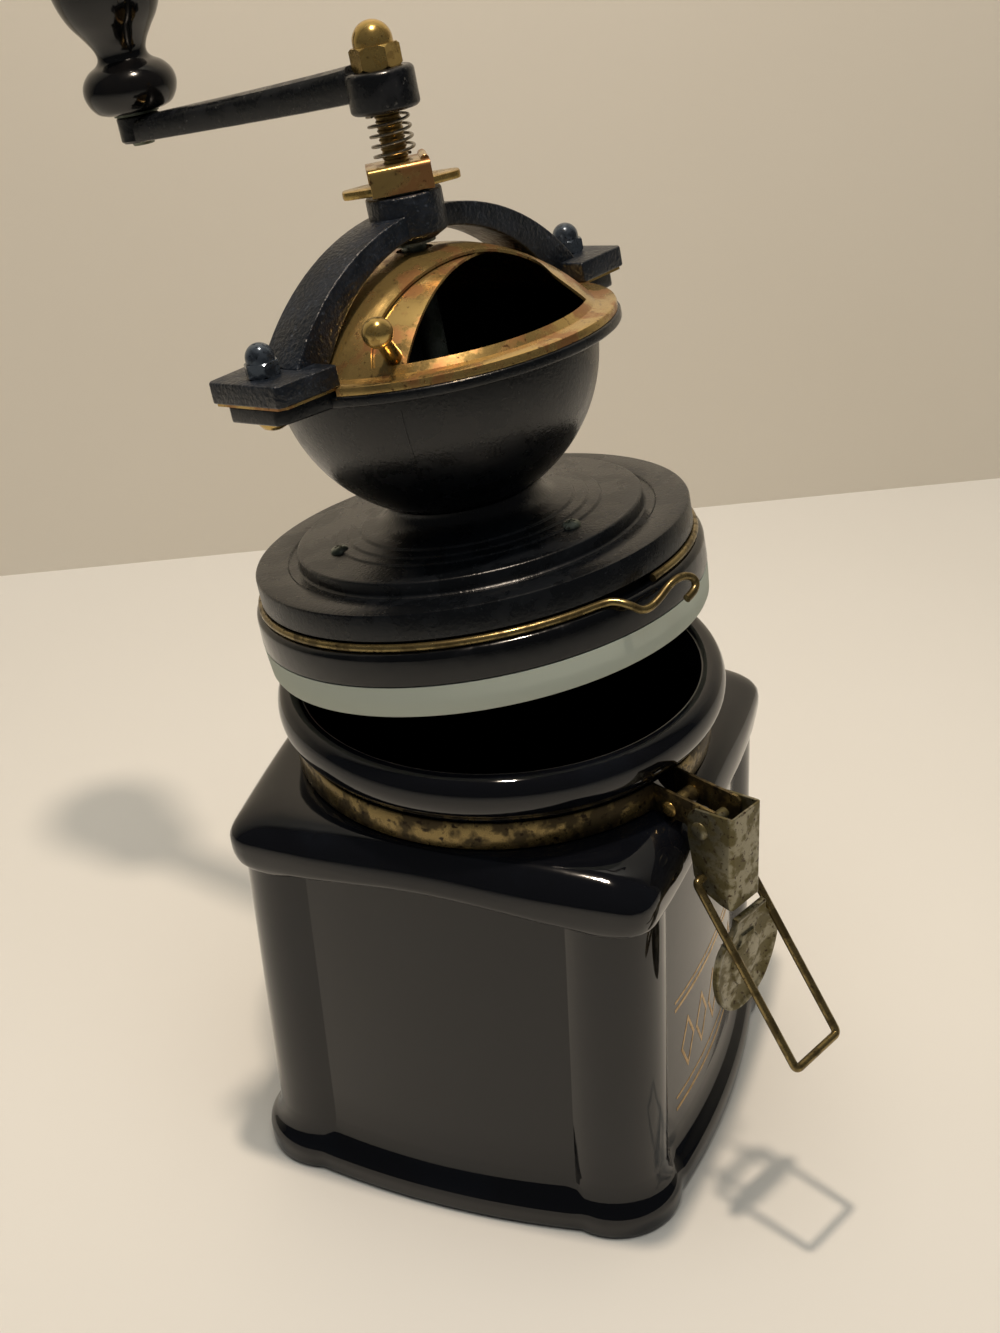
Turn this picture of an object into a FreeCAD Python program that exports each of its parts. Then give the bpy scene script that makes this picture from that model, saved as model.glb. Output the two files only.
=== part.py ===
import FreeCAD, Part

import math
import os

import Sketcher
from FreeCAD import Placement, Rotation, Vector

# Table coffee grinder: a cast grinder head hinged as the lid of a square ceramic canister.
# Millimetres, +Z up. The origin is the centre of the canister's flat underside and the canister's
# panels face X and Y. The neck strap with its clamp and hinge is turned on the round neck, so the lid,
# the clamp and the hinge share a frame of their own: hinge axis along its X, clamp towards its -Y.

DIMENSIONS = {
    # canister
    "panel_half": 55.1,
    "groove_x": 52.0,
    "groove_y": 33.4,
    "corner_reach": 50.0,
    "foot_flare": 5.0,
    "foot_corner_flare": 2.6,
    "roof_half": 57.4,
    "roof_edge_x": 54.4,
    "roof_edge_y": 47.6,
    "roof_corner": 52.2,
    "lip_under": 1.8,
    "lip_bottom": 93.3,
    "lip_height": 101.0,
    "arch_rise": 99.0,
    "arch_radius": 150.0,
    "neck_radius": 51.8,
    "neck_bottom": 110.0,
    "wall": 5.5,
    "floor_thickness": 7.0,
    "base_recess": 1.2,
    "rim_radius": 56.2,
    "rim_bottom": 119.0,
    "rim_middle": 125.3,
    "rim_top": 131.0,
    "mouth_radius": 49.4,
    "neck_bore": 47.5,
    # turned neck fittings
    "fitting_turn": -22.0,
    "band_bottom": 110.7,
    "band_height": 7.25,
    "band_thickness": 0.8,
    "ear_inner": 3.95,
    "ear_thickness": 0.8,
    "lever_pivot_y": -66.8,
    "lever_pivot_z": 111.3,
    "lever_width": 11.3,
    "lever_face_y": -76.2,
    "lever_top": 118.0,
    "lever_bottom": 92.0,
    "sheet": 0.8,
    "bail_pivot_y": -68.0,
    "bail_pivot_z": 98.6,
    "bail_end_y": -97.6,
    "bail_end_z": 57.6,
    "bail_half_width": 8.5,
    "bail_wire": 1.05,
    "tab_half_width": 12.0,
    "tab_y": -75.3,
    "tab_z": 75.5,
    "tab_tilt": 4.0,
    "hinge_y": 58.5,
    "hinge_z": 121.0,
    "axle_radius": 1.5,
    "lug_inner": 5.2,
    "lid_open": 10.28,
    # lid discs
    "lower_disc_radius": 55.5,
    "lower_disc_bottom": 139.45,
    "seal_bottom": 131.3,
    "ring_radius": 53.7,
    "ring_z": 148.3,
    "ring_wire": 0.95,
    "disc_radius": 53.5,
    "disc_top": 156.3,
    "plateau_radius": 42.5,
    "plateau_top": 159.3,
    "spigot_radius": 26.0,
    "burr_seat": 22.1,
    "lid_screw_circle": 32.7,
    # hopper
    "bowl_radius": 38.4,
    "bowl_centre": 200.2,
    "bowl_wall": 3.0,
    "throat": 14.5,
    "flange_radius": 44.4,
    "flange_bottom": 200.9,
    "flange_top": 203.4,
    "ear_top": 204.8,
    "cover_base": 205.4,
    "dome_radius": 49.0,
    "dome_foot": 39.0,
    "cover_sheet": 0.6,
    "mouth_arc": 37.4,
    "mouth_left": 205.5,
    "mouth_right": 303.0,
    "mouth_back": 12.4,
    "door_gap": 0.4,
    "door_turn": 15.2,
    "door_edge": 13.7,
    "knob_ball": 3.4,
    "knob_ball_offset": 10.8,
    "knob_foot_radius": 34.9,
    "knob_foot_angle": 212.8,
    # yoke
    "ear_bolt_x": 50.2,
    "pad_end": 57.0,
    "pad_top": 210.3,
    "arch_top": 233.8,
    "arch_outer": 56.6,
    "arch_inner": 43.5,
    "arch_inner_top": 228.0,
    "arch_width": 12.4,
    "boss_radius": 8.8,
    "boss_bottom": 226.6,
    "boss_top": 237.6,
    # shaft line
    "shaft_radius": 3.0,
    "shaft_bottom": 133.7,
    "shaft_top": 269.4,
    "washer_thickness": 0.8,
    "nut_top": 243.86,
    "clip_top": 244.5,
    "hub_bottom": 255.7,
    "hub_top": 264.8,
    "hub_radius": 7.93,
    "wing_turn": 140.0,
    "clip_turn": 140.0,
    "spring_radius": 4.7,
    "spring_wire": 0.36,
    "spring_turns": 4.5,
    "crank_reach": 80.3,
    "arm_root_bottom": 258.6,
    "arm_root_top": 266.8,
    "crank_turn": 97.0,
    "crank_end_bottom": 254.8,
    "crank_end_top": 261.3,
    "crank_end_radius": 5.3,
    "knob_bottom": 262.0,
    "knob_height": 46.5,
    "crank_nut_flat": 10.0,
    "crank_nut_hex": 5.1,
    "ear_nut_flat": 7.0,
    "ear_nut_hex": 3.2,
    # burrs
    "burr_top": 171.0,
    "burr_bottom": 137.5,
    "burr_gap": 0.75,
    "bridge_top": 135.4,
    "bridge_thickness": 3.6,
    "bridge_screw_x": 24.0,
}

doc = FreeCAD.newDocument("CoffeeGrinder")
sheet = doc.addObject("Spreadsheet::Sheet", "dims")
parts = {}


def fill_sheet():
    """Put every driving dimension in a cell with its name as the alias."""
    for row, (alias, number) in enumerate(DIMENSIONS.items(), start=1):
        sheet.set(f"A{row}", alias)
        sheet.set(f"B{row}", str(number))
        sheet.setAlias(f"B{row}", alias)
    doc.recompute()


class Size:
    """A length with its value and the sheet expression that it comes from."""

    def __init__(self, value, text):
        self.value = float(value)
        self.text = text

    @staticmethod
    def of(other):
        if isinstance(other, Size):
            return other
        return Size(other, repr(float(other)))

    def _join(self, other, sign, value):
        return Size(value, f"({self.text} {sign} {other.text})")

    def __add__(self, other):
        other = Size.of(other)
        return self._join(other, "+", self.value + other.value)

    def __sub__(self, other):
        other = Size.of(other)
        return self._join(other, "-", self.value - other.value)

    def __mul__(self, other):
        other = Size.of(other)
        return self._join(other, "*", self.value * other.value)

    def __truediv__(self, other):
        other = Size.of(other)
        return self._join(other, "/", self.value / other.value)

    def __neg__(self):
        return Size(-self.value, f"(-{self.text})")

    def __radd__(self, other):
        return Size.of(other) + self

    def __rsub__(self, other):
        return Size.of(other) - self

    def __rmul__(self, other):
        return Size.of(other) * self


def dim(alias):
    """The sheet's cell as a Size."""
    return Size(getattr(sheet, alias), f"dims.{alias}")


def num(alias):
    """The sheet's cell as a plain number."""
    return float(getattr(sheet, alias))


# Placements


def fitting_frame():
    """Frame of the strap, clamp and hinge on the neck."""
    return Placement(Vector(0, 0, 0), Rotation(Vector(0, 0, 1), num("fitting_turn")))


def lid_frame():
    """Frame of the lid, modelled closed and stood open about the hinge axle."""
    hinge = Vector(0, num("hinge_y"), num("hinge_z"))
    tilt = Placement(Vector(0, 0, 0), Rotation(Vector(1, 0, 0), -num("lid_open")), hinge)
    return fitting_frame() * tilt


def turned(frame, angle):
    """The frame turned about its own vertical axis."""
    return frame * Placement(Vector(0, 0, 0), Rotation(Vector(0, 0, 1), angle))


# Sketch and feature helpers


def new_body(label, frame):
    body = doc.addObject("PartDesign::Body", label)
    body.Label = label
    body.Placement = frame
    parts[label] = body
    return body


def new_sketch(body, role, offset=0.0, turn=0.0):
    """Sketch on one of the body's own origin planes, lifted and turned in it."""
    plane = [item for item in body.Origin.OriginFeatures if item.Role == role][0]
    sketch = body.newObject("Sketcher::SketchObject", f"{body.Label}_sketch")
    sketch.AttachmentSupport = [(plane, "")]
    sketch.MapMode = "FlatFace"
    lift = Size.of(offset)
    rotation = Rotation(Vector(0, 0, 1), turn)
    sketch.AttachmentOffset = Placement(Vector(0, 0, lift.value), rotation)
    sketch.setExpression(".AttachmentOffset.Base.z", lift.text)
    return sketch


def bind(sketch, index, size):
    sketch.setExpression(f"Constraints[{index}]", size.text)


def pin_point(sketch, geometry, position, x, y):
    """Hold one point of the sketch at sheet-driven coordinates."""
    for kind, axis, size in (("DistanceX", -2, Size.of(x)), ("DistanceY", -1, Size.of(y))):
        if abs(size.value) < 1e-9:
            sketch.addConstraint(Sketcher.Constraint("PointOnObject", geometry, position, axis))
        else:
            rule = Sketcher.Constraint(kind, -1, 1, geometry, position, size.value)
            bind(sketch, sketch.addConstraint(rule), size)


def arc_between(start, end, radius):
    """Counter-clockwise arc between two points; it bulges to the right of the way from start to end."""
    chord = end - start
    half = chord.Length / 2
    size = max(radius, half)
    rise = size - math.sqrt(size * size - half * half)
    right = Vector(chord.y, -chord.x, 0).normalize()
    return Part.Arc(start, (start + end) / 2 + right * rise, end)


def draw_outline(sketch, corners):
    """Closed outline of corners (x, y) or (x, y, radius of the arc that leads to the next corner).

    A positive radius bulges to the right of the way, a negative one to the left.
    """
    points = [Vector(Size.of(corner[0]).value, Size.of(corner[1]).value, 0) for corner in corners]
    first = sketch.GeometryCount
    count = len(corners)
    ends = []
    for index, corner in enumerate(corners):
        start, end = points[index], points[(index + 1) % count]
        if len(corner) == 3:
            radius = Size.of(corner[2]).value
            if radius > 0:
                sketch.addGeometry(arc_between(start, end, radius), False)
                ends.append((1, 2))
            else:
                sketch.addGeometry(arc_between(end, start, -radius), False)
                ends.append((2, 1))
        else:
            sketch.addGeometry(Part.LineSegment(start, end), False)
            ends.append((1, 2))
    for index, corner in enumerate(corners):
        following = (index + 1) % count
        here, there = first + index, first + following
        joint = Sketcher.Constraint("Coincident", here, ends[index][1], there, ends[following][0])
        sketch.addConstraint(joint)
        pin_point(sketch, here, ends[index][0], corner[0], corner[1])
        if len(corner) == 3:
            radius = Size.of(corner[2])
            radius = radius if radius.value > 0 else -radius
            bind(sketch, sketch.addConstraint(Sketcher.Constraint("Radius", here, radius.value)), radius)


def draw_circle(sketch, x, y, radius):
    radius = Size.of(radius)
    centre = Vector(Size.of(x).value, Size.of(y).value, 0)
    index = sketch.addGeometry(Part.Circle(centre, Vector(0, 0, 1), radius.value), False)
    pin_point(sketch, index, 3, x, y)
    bind(sketch, sketch.addConstraint(Sketcher.Constraint("Radius", index, radius.value)), radius)


def draw_rectangle(sketch, left, bottom, right, top):
    draw_outline(sketch, [(left, bottom), (right, bottom), (right, top), (left, top)])


def draw_hexagon(sketch, across_flats):
    reach = Size.of(across_flats) / math.sqrt(3)
    turns = [math.radians(60 * corner) for corner in range(6)]
    draw_outline(sketch, [(reach * math.cos(turn), reach * math.sin(turn)) for turn in turns])


def pad(body, sketch, length, middle=False, reverse=False):
    feature = body.newObject("PartDesign::Pad", f"{body.Label}_pad")
    feature.Profile = sketch
    size = Size.of(length)
    feature.Length = size.value
    feature.setExpression("Length", size.text)
    if middle:
        feature.SideType = "Symmetric"
    feature.Reversed = reverse
    return feature


def pocket(body, sketch, length=None, reverse=False, middle=False):
    """Pocket of a given depth, or through all; it must take material away."""
    doc.recompute()
    before = body.Shape.Volume
    feature = body.newObject("PartDesign::Pocket", f"{body.Label}_pocket")
    feature.Profile = sketch
    feature.Reversed = reverse
    if middle:
        feature.SideType = "Symmetric"
    if length is None:
        feature.Type = "ThroughAll"
    else:
        size = Size.of(length)
        feature.Length = size.value
        feature.setExpression("Length", size.text)
    doc.recompute()
    if body.Shape.Volume > before - 1e-3:
        raise RuntimeError(f"{body.Label}: a pocket cuts nothing")
    return feature


def revolve(body, sketch, axis="V_Axis", angle=360.0):
    feature = body.newObject("PartDesign::Revolution", f"{body.Label}_turn")
    feature.Profile = sketch
    feature.ReferenceAxis = (sketch, [axis])
    feature.Angle = angle
    return feature


def mirror(body, features, role):
    """Mirrored copy of the features across one of the body's own origin planes."""
    plane = [item for item in body.Origin.OriginFeatures if item.Role == role][0]
    doc.recompute()
    feature = body.newObject("PartDesign::Mirrored", f"{body.Label}_mirror")
    feature.Originals = features
    feature.MirrorPlane = (plane, [""])
    body.Tip = feature
    return feature


def polar(body, features, count, role="Z_Axis"):
    axis = [item for item in body.Origin.OriginFeatures if item.Role == role][0]
    doc.recompute()
    feature = body.newObject("PartDesign::PolarPattern", f"{body.Label}_pattern")
    feature.Originals = features
    feature.Axis = (axis, [""])
    feature.Angle = 360
    feature.Occurrences = count
    body.Tip = feature
    return feature


def turned_piece(label, frame, outline):
    """Body of revolution about the frame's vertical axis."""
    body = new_body(label, frame)
    sketch = new_sketch(body, "XZ_Plane")
    draw_outline(sketch, outline)
    revolve(body, sketch)
    return body


def plain_part(label, shape, frame):
    """Sub-part whose shape is made with Part functions from the sheet's sizes."""
    feature = doc.addObject("Part::Feature", label)
    feature.Label = label
    feature.Shape = shape
    feature.Placement = frame
    parts[label] = feature
    return feature


# Canister

FOOT_STEPS = ((0.0, 0.78), (1.4, 1.0), (5.6, 1.0), (7.4, 0.8), (9.0, 0.42), (11.5, 0.14), (15.0, 0.0))
LIP_STEPS = ((93.0, 0.0), (94.6, 0.5), (96.6, 0.83), (99.0, 0.98), (101.0, 1.0))
SHOULDER_LEVELS = 6


def eight_arcs(height, mid, groove_x, groove_y, corner):
    """Section of the canister: four bulging panels and four round corner columns."""
    edges = []
    for quarter in range(4):
        turn = Rotation(Vector(0, 0, 1), 90 * quarter)
        outline = (
            (groove_x, -groove_y),
            (mid, 0),
            (groove_x, groove_y),
            (corner, corner),
            (groove_y, groove_x),
        )
        a, b, c, d, e = [turn.multVec(Vector(x, y, height)) for x, y in outline]
        edges.append(Part.Arc(a, b, c).toShape())
        edges.append(Part.Arc(c, d, e).toShape())
    return Part.Wire(edges)


def body_section(height, grow, corner_grow, inset=0.0):
    return eight_arcs(
        height,
        num("panel_half") + grow - inset,
        num("groove_x") + grow - inset,
        num("groove_y") + grow * 0.6 - inset * 0.7,
        num("corner_reach") + corner_grow - inset * 0.95,
    )


def toward_circle(height, square, radius, share):
    """Section on the way from a square outline to a circle; share 1 is the circle."""
    seam = math.atan2(square[2], square[1])
    circle = (radius, radius * math.cos(seam), radius * math.sin(seam), radius / math.sqrt(2))
    sizes = [a + (b - a) * share for a, b in zip(square, circle)]
    return eight_arcs(height, *sizes)


def roof_section(height, drawn_in, share=0.0):
    """Smooth square of the shoulder, drawn in under its lip, on its way to the round neck."""
    edge = num("roof_edge_y") - drawn_in * 0.4
    square = (
        num("roof_half") - drawn_in,
        num("roof_edge_x") - drawn_in,
        num("roof_edge_y") - drawn_in * 0.4,
        num("roof_corner") - drawn_in,
    )
    return toward_circle(height, square, num("neck_radius"), share)


def inner_section(height, share):
    """Section of the hollow under the shoulder, on its way to the neck's bore."""
    inset = num("wall")
    square = (
        num("panel_half") - inset,
        num("groove_x") - inset,
        num("groove_y") - inset * 0.7,
        num("corner_reach") - inset * 0.95,
    )
    return toward_circle(height, square, num("neck_bore"), share)


def canister_outside():
    """Foot moulding, straight body and sloping shoulder with its drooping lip."""
    foot = [
        body_section(z, num("foot_flare") * share, num("foot_corner_flare") * share)
        for z, share in FOOT_STEPS
    ]
    body = Part.makeLoft(foot + [body_section(num("neck_bottom") + 2, 0, 0)], True, True)
    under = num("lip_under")
    envelope = [roof_section(z, under * (1 - share)) for z, share in LIP_STEPS]
    low, high = num("lip_height"), num("neck_bottom") + 0.3
    for level in range(1, SHOULDER_LEVELS + 1):
        share = level / SHOULDER_LEVELS
        height = low + (high - low) * math.sin(share * math.pi / 2) ** 0.8
        blend = 1 - math.cos(share * math.pi / 2)
        envelope.append(roof_section(height, 0.0, blend ** 0.75))
    hull = Part.makeLoft(envelope, True, True)
    return body, hull


def canister_shape():
    body, hull = canister_outside()
    low = Part.makeBox(200, 200, num("lip_bottom") + 0.5, Vector(-100, -100, 0))
    lower = body.common(low)
    upper = body.common(hull)
    reach = 90.0
    lip = hull
    for axis in (Vector(1, 0, 0), Vector(0, 1, 0)):
        start = axis * -reach + Vector(0, 0, num("arch_rise") - num("arch_radius"))
        lip = lip.cut(Part.makeCylinder(num("arch_radius"), 2 * reach, start, axis))
    neck = revolved(neck_outline())
    solid = lower.fuse([upper, lip, neck])
    solid = solid.cut(canister_cavity())
    recess = Part.makeLoft([body_section(z, 0, 0, 9.0) for z in (-1.0, num("base_recess"))], True, True)
    return solid.cut(recess).removeSplitter()


def neck_outline():
    """Half section of the neck and its rolled rim, from the shoulder to the mouth."""
    neck, bore = num("neck_radius"), num("neck_bore")
    low, rim_low = num("neck_bottom") - 4, num("rim_bottom")
    rim, middle, top = num("rim_radius"), num("rim_middle"), num("rim_top")
    mouth = num("mouth_radius")
    crest = (rim + mouth) / 2
    lower = Vector(neck, 0, rim_low)
    upper = Vector(crest, 0, top)
    inner = Vector(mouth - 1.4, 0, top - 4.5)
    return [
        Part.LineSegment(Vector(bore, 0, low), Vector(neck, 0, low)),
        Part.LineSegment(Vector(neck, 0, low), lower),
        Part.Arc(lower, Vector(rim, 0, middle), upper),
        Part.Arc(upper, Vector(mouth, 0, top - 1.4), inner),
        Part.LineSegment(inner, Vector(bore, 0, top - 8)),
        Part.LineSegment(Vector(bore, 0, top - 8), Vector(bore, 0, low)),
    ]


def revolved(outline):
    face = Part.Face(Part.Wire([item.toShape() for item in outline]))
    return face.revolve(Vector(0, 0, 0), Vector(0, 0, 1), 360)


def canister_cavity():
    """Hollow inside: it follows the body and narrows to the neck's bore."""
    wall = num("wall")
    levels = [
        body_section(num("floor_thickness"), 0, 0, wall + 3),
        body_section(num("floor_thickness") + 4, 0, 0, wall),
        body_section(85.0, 0, 0, wall),
    ]
    for height, share in ((95.0, 0.35), (103.0, 0.8), (108.0, 1.0)):
        levels.append(inner_section(height, share))
    hollow = Part.makeLoft(levels, True, True)
    bore = Part.makeCylinder(num("neck_bore"), 12, Vector(0, 0, 107))
    return hollow.fuse(bore)


def make_canister():
    plain_part("jar", canister_shape(), Placement())


# Neck strap, clamp and hinge


def make_neck_band():
    body = new_body("neck_band", fitting_frame())
    inner = dim("neck_radius") + 0.05
    outer = inner + dim("band_thickness")
    low, high = dim("band_bottom"), dim("band_bottom") + dim("band_height")
    ring = new_sketch(body, "XZ_Plane")
    draw_rectangle(ring, inner, low, outer, high)
    revolve(body, ring)
    gap = new_sketch(body, "XZ_Plane")
    draw_rectangle(gap, -dim("ear_inner"), low - 1, dim("ear_inner"), high + 1)
    pocket(body, gap, 60, reverse=True)
    pivot_y, pivot_z = dim("lever_pivot_y"), dim("lever_pivot_z")
    ear = new_sketch(body, "YZ_Plane", dim("ear_inner"))
    draw_outline(
        ear,
        [
            (-inner, low),
            (pivot_y + 5, low),
            (pivot_y + 1.6, pivot_z - 3.4),
            (pivot_y - 3.4, pivot_z - 3.0),
            (pivot_y - 4.4, pivot_z),
            (pivot_y - 4.4, high - 0.6),
            (-inner, high),
        ],
    )
    front = pad(body, ear, dim("ear_thickness"))
    lug = new_sketch(body, "YZ_Plane", dim("lug_inner"))
    hinge_y, hinge_z = dim("hinge_y"), dim("hinge_z")
    draw_outline(
        lug,
        [
            (inner - 0.1, low),
            (hinge_y + 1.0, low),
            (hinge_y + 3.2, hinge_z - 2.0),
            (hinge_y + 3.2, hinge_z + 0.4, 3.2),
            (hinge_y - 1.6, hinge_z + 2.6),
            (hinge_y - 1.6, high),
            (inner - 0.1, high),
        ],
    )
    rear = pad(body, lug, dim("ear_thickness"))
    mirror(body, [front, rear], "YZ_Plane")
    holes = new_sketch(body, "YZ_Plane")
    draw_circle(holes, pivot_y, pivot_z, 1.55)
    draw_circle(holes, hinge_y, hinge_z, dim("axle_radius") + 0.05)
    draw_circle(holes, dim("lever_pivot_y") + 9.6, dim("band_bottom") + 2.2, 1.05)
    pocket(body, holes, 40, middle=True)


def cross_pin(label, frame, y, z, shank, half_length, head, head_thickness):
    """Round pin along the frame's X axis with a low round head at each end."""
    centre = frame * Placement(Vector(0, y.value, z.value), Rotation(Vector(0, 0, 1), -90))
    body = new_body(label, centre)
    sketch = new_sketch(body, "YZ_Plane")
    end = Size.of(half_length)
    crown = end + head_thickness
    draw_outline(
        sketch,
        [
            (-crown, 0.0),
            (-crown, Size.of(head) * 0.55),
            (-end - Size.of(head_thickness) * 0.4, head),
            (-end, head),
            (-end, shank),
            (end, shank),
            (end, head),
            (end + Size.of(head_thickness) * 0.4, head),
            (crown, Size.of(head) * 0.55),
            (crown, 0.0),
        ],
    )
    revolve(body, sketch, "H_Axis")


def make_strap_pins():
    frame = fitting_frame()
    cross_pin("hinge_axle", frame, dim("hinge_y"), dim("hinge_z"), dim("axle_radius"), 6.1, 3.1, 1.7)
    spacer_y = dim("lever_pivot_y") + 9.6
    spacer_z = dim("band_bottom") + 2.2
    cross_pin("band_rivet", frame, spacer_y, spacer_z, 1.0, dim("ear_inner") + dim("ear_thickness"), 2.0, 0.8)
    outer = dim("lever_width") / 2
    cross_pin("lever_rivet", frame, dim("lever_pivot_y"), dim("lever_pivot_z"), 1.5, outer + 0.03, 2.35, 0.9)
    centre = Vector(0, spacer_y.value, spacer_z.value)
    tube = new_body("band_spacer", frame * Placement(centre, Rotation(Vector(0, 0, 1), -90)))
    sketch = new_sketch(tube, "YZ_Plane")
    draw_rectangle(sketch, -dim("ear_inner"), 1.03, dim("ear_inner"), 2.2)
    revolve(tube, sketch, "H_Axis")


def make_clamp_lever():
    """Folded channel: outer face, two tapering sides, pivot holes and bail holes."""
    body = new_body("clamp_lever", fitting_frame())
    face, top, bottom = dim("lever_face_y"), dim("lever_top"), dim("lever_bottom")
    side = [
        (face, top),
        (face, bottom),
        (face + 3.4, bottom + 0.6),
        (dim("bail_pivot_y") + 1.6, dim("bail_pivot_z") - 3.6),
        (dim("bail_pivot_y") + 3.2, dim("bail_pivot_z") - 0.4),
        (dim("lever_pivot_y") + 3.6, dim("lever_pivot_z") - 2.6),
        (dim("lever_pivot_y") + 3.6, dim("lever_pivot_z") + 2.6),
        (dim("lever_pivot_y") + 1.6, top - 1.2),
    ]
    outline = new_sketch(body, "YZ_Plane")
    draw_outline(outline, side)
    pad(body, outline, dim("lever_width"), middle=True)
    inside = new_sketch(body, "YZ_Plane")
    draw_rectangle(inside, face + dim("sheet"), bottom - 5, face + 30, top + 5)
    pocket(body, inside, dim("lever_width") - dim("sheet") * 2, middle=True)
    holes = new_sketch(body, "YZ_Plane")
    draw_circle(holes, dim("lever_pivot_y"), dim("lever_pivot_z"), 1.55)
    draw_circle(holes, dim("bail_pivot_y"), dim("bail_pivot_z"), dim("bail_wire") + 0.07)
    pocket(body, holes, 40, middle=True)


def tab_outline(inset):
    """Egg-shaped outline of the thumb tab under its neck, drawn smaller by the inset."""
    half = dim("tab_half_width") - inset
    neck = dim("lever_width") / 2 - inset
    top = Size.of(14.0) - inset
    return [
        (neck, top),
        (-neck, top),
        (-neck - 0.4, top - 2.6, -4.6),
        (-half + 1.2, Size.of(7.0) - inset, 9.0),
        (-half, 1.0, 20.0),
        (-half + 4.4, Size.of(-11.0) + inset, 9.0),
        (half - 4.4, Size.of(-11.0) + inset, 20.0),
        (half, 1.0, 9.0),
        (half - 1.2, Size.of(7.0) - inset, -4.6),
        (neck + 0.4, top - 2.6),
    ]


def make_thumb_tab():
    """Egg-shaped tab at the lever's lower end: raised rim and a round embossed boss."""
    centre = Vector(0, num("tab_y"), num("tab_z"))
    lean = Rotation(Vector(1, 0, 0), 90 + num("tab_tilt"))
    body = new_body("thumb_tab", fitting_frame() * Placement(centre, lean))
    plate = new_sketch(body, "XY_Plane")
    draw_outline(plate, tab_outline(0.0))
    pad(body, plate, 1.8)
    dish = new_sketch(body, "XY_Plane", 1.8)
    draw_outline(dish, tab_outline(1.1))
    pocket(body, dish, 1.0)
    boss = new_sketch(body, "XY_Plane", 0.8)
    draw_circle(boss, 0.0, -0.5, 4.6)
    pad(body, boss, 0.6)


def bail_frame():
    """Frame at the bail's pivot: its -Y runs down the legs."""
    run_y = num("bail_end_y") - num("bail_pivot_y")
    run_z = num("bail_end_z") - num("bail_pivot_z")
    lean = math.degrees(math.atan2(-run_z, -run_y))
    pivot = Vector(0, num("bail_pivot_y"), num("bail_pivot_z"))
    return fitting_frame() * Placement(pivot, Rotation(Vector(1, 0, 0), lean))


def make_bail():
    """Wire loop: two ends turned into the lever's holes, two legs and a cross bar."""
    body = new_body("bail_loop", bail_frame())
    run = math.hypot(
        num("bail_end_y") - num("bail_pivot_y"),
        num("bail_end_z") - num("bail_pivot_z"),
    )
    half, bend, inner = num("bail_half_width"), 2.6, 4.3
    path = new_sketch(body, "XY_Plane")
    stations = [
        (-inner, 0),
        (-half + bend, 0),
        (-half, -bend),
        (-half, -run + bend),
        (-half + bend, -run),
        (half - bend, -run),
        (half, -run + bend),
        (half, -bend),
        (half - bend, 0),
        (inner, 0),
    ]
    turns = {1: (-1, -1), 3: (-1, 1), 5: (1, 1), 7: (1, -1)}
    corners = [Vector(x, y, 0) for x, y in stations]
    for index in range(len(corners) - 1):
        start, end = corners[index], corners[index + 1]
        if index in turns:
            side_x, side_y = turns[index]
            middle_y = 0.0 if side_y < 0 else -run
            hub = Vector(side_x * (half - bend), middle_y + side_y * bend, 0)
            out = ((start + end) / 2 - hub).normalize() * bend
            path.addGeometry(Part.Arc(start, hub + out, end), False)
        else:
            path.addGeometry(Part.LineSegment(start, end), False)
    ring = new_sketch(body, "YZ_Plane", Size.of(-inner))
    draw_circle(ring, 0.0, 0.0, dim("bail_wire"))
    doc.recompute()
    pipe = body.newObject("PartDesign::AdditivePipe", "bail_loop_pipe")
    pipe.Profile = ring
    pipe.Spine = (path, [f"Edge{number}" for number in range(1, len(corners))])


# Lid: discs, seal, wire ring


def casting_outline():
    """Half section of the iron casting: disc, plateau, neck, bowl, throat and burr seat."""
    disc, top = dim("disc_radius"), dim("disc_top")
    plateau, deck = dim("plateau_radius"), dim("plateau_top")
    spigot, seat = dim("spigot_radius"), dim("burr_seat")
    parting = dim("ring_z")
    bowl, centre = num("bowl_radius"), num("bowl_centre")
    inner = bowl - num("bowl_wall")
    neck_z, throat = 166.5, num("throat")
    neck_r = math.sqrt(bowl**2 - (centre - neck_z) ** 2)
    lip_r = math.sqrt(bowl**2 - (num("flange_bottom") - centre) ** 2)
    throat_z = centre - math.sqrt(inner**2 - throat**2)
    mouth_r = math.sqrt(inner**2 - (num("ear_top") - centre) ** 2)
    return [
        (seat, dim("lower_disc_bottom")),
        (spigot, dim("lower_disc_bottom")),
        (spigot, parting),
        (spigot + 1.5, parting + 5.0),
        (49.0, parting + 5.0),
        (49.6, parting),
        (disc - 1.6, parting),
        (disc - 1.6, parting + dim("ring_wire") + 0.05),
        (disc - 0.5, parting + dim("ring_wire") + 0.05),
        (disc, parting + dim("ring_wire") + 0.6),
        (disc, top - 0.8, 0.8),
        (disc - 0.8, top),
        (plateau + 3.0, top),
        (plateau + 2.6, top - 0.6),
        (plateau + 0.5, top - 0.6),
        (plateau, deck - 0.5, 0.5),
        (plateau - 0.5, deck),
        (32.8, deck),
        (32.4, deck + 0.6),
        (29.8, deck + 0.6),
        (29.4, deck + 1.2),
        (26.4, deck + 1.2),
        (26.0, deck + 1.9),
        (22.6, deck + 1.9, -4.2),
        (neck_r - 0.2, deck + 5.4),
        (neck_r, neck_z, dim("bowl_radius")),
        (lip_r, dim("flange_bottom")),
        (dim("flange_radius"), dim("flange_bottom")),
        (dim("flange_radius"), dim("flange_top")),
        (dim("flange_radius") - 1.6, dim("flange_top")),
        (dim("flange_radius") - 1.6, dim("ear_top")),
        (mouth_r, dim("ear_top"), dim("bowl_wall") - dim("bowl_radius")),
        (throat, throat_z),
        (throat, dim("lower_disc_bottom") + 21.0),
        (seat, dim("lower_disc_bottom") + 21.0),
    ]


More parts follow.
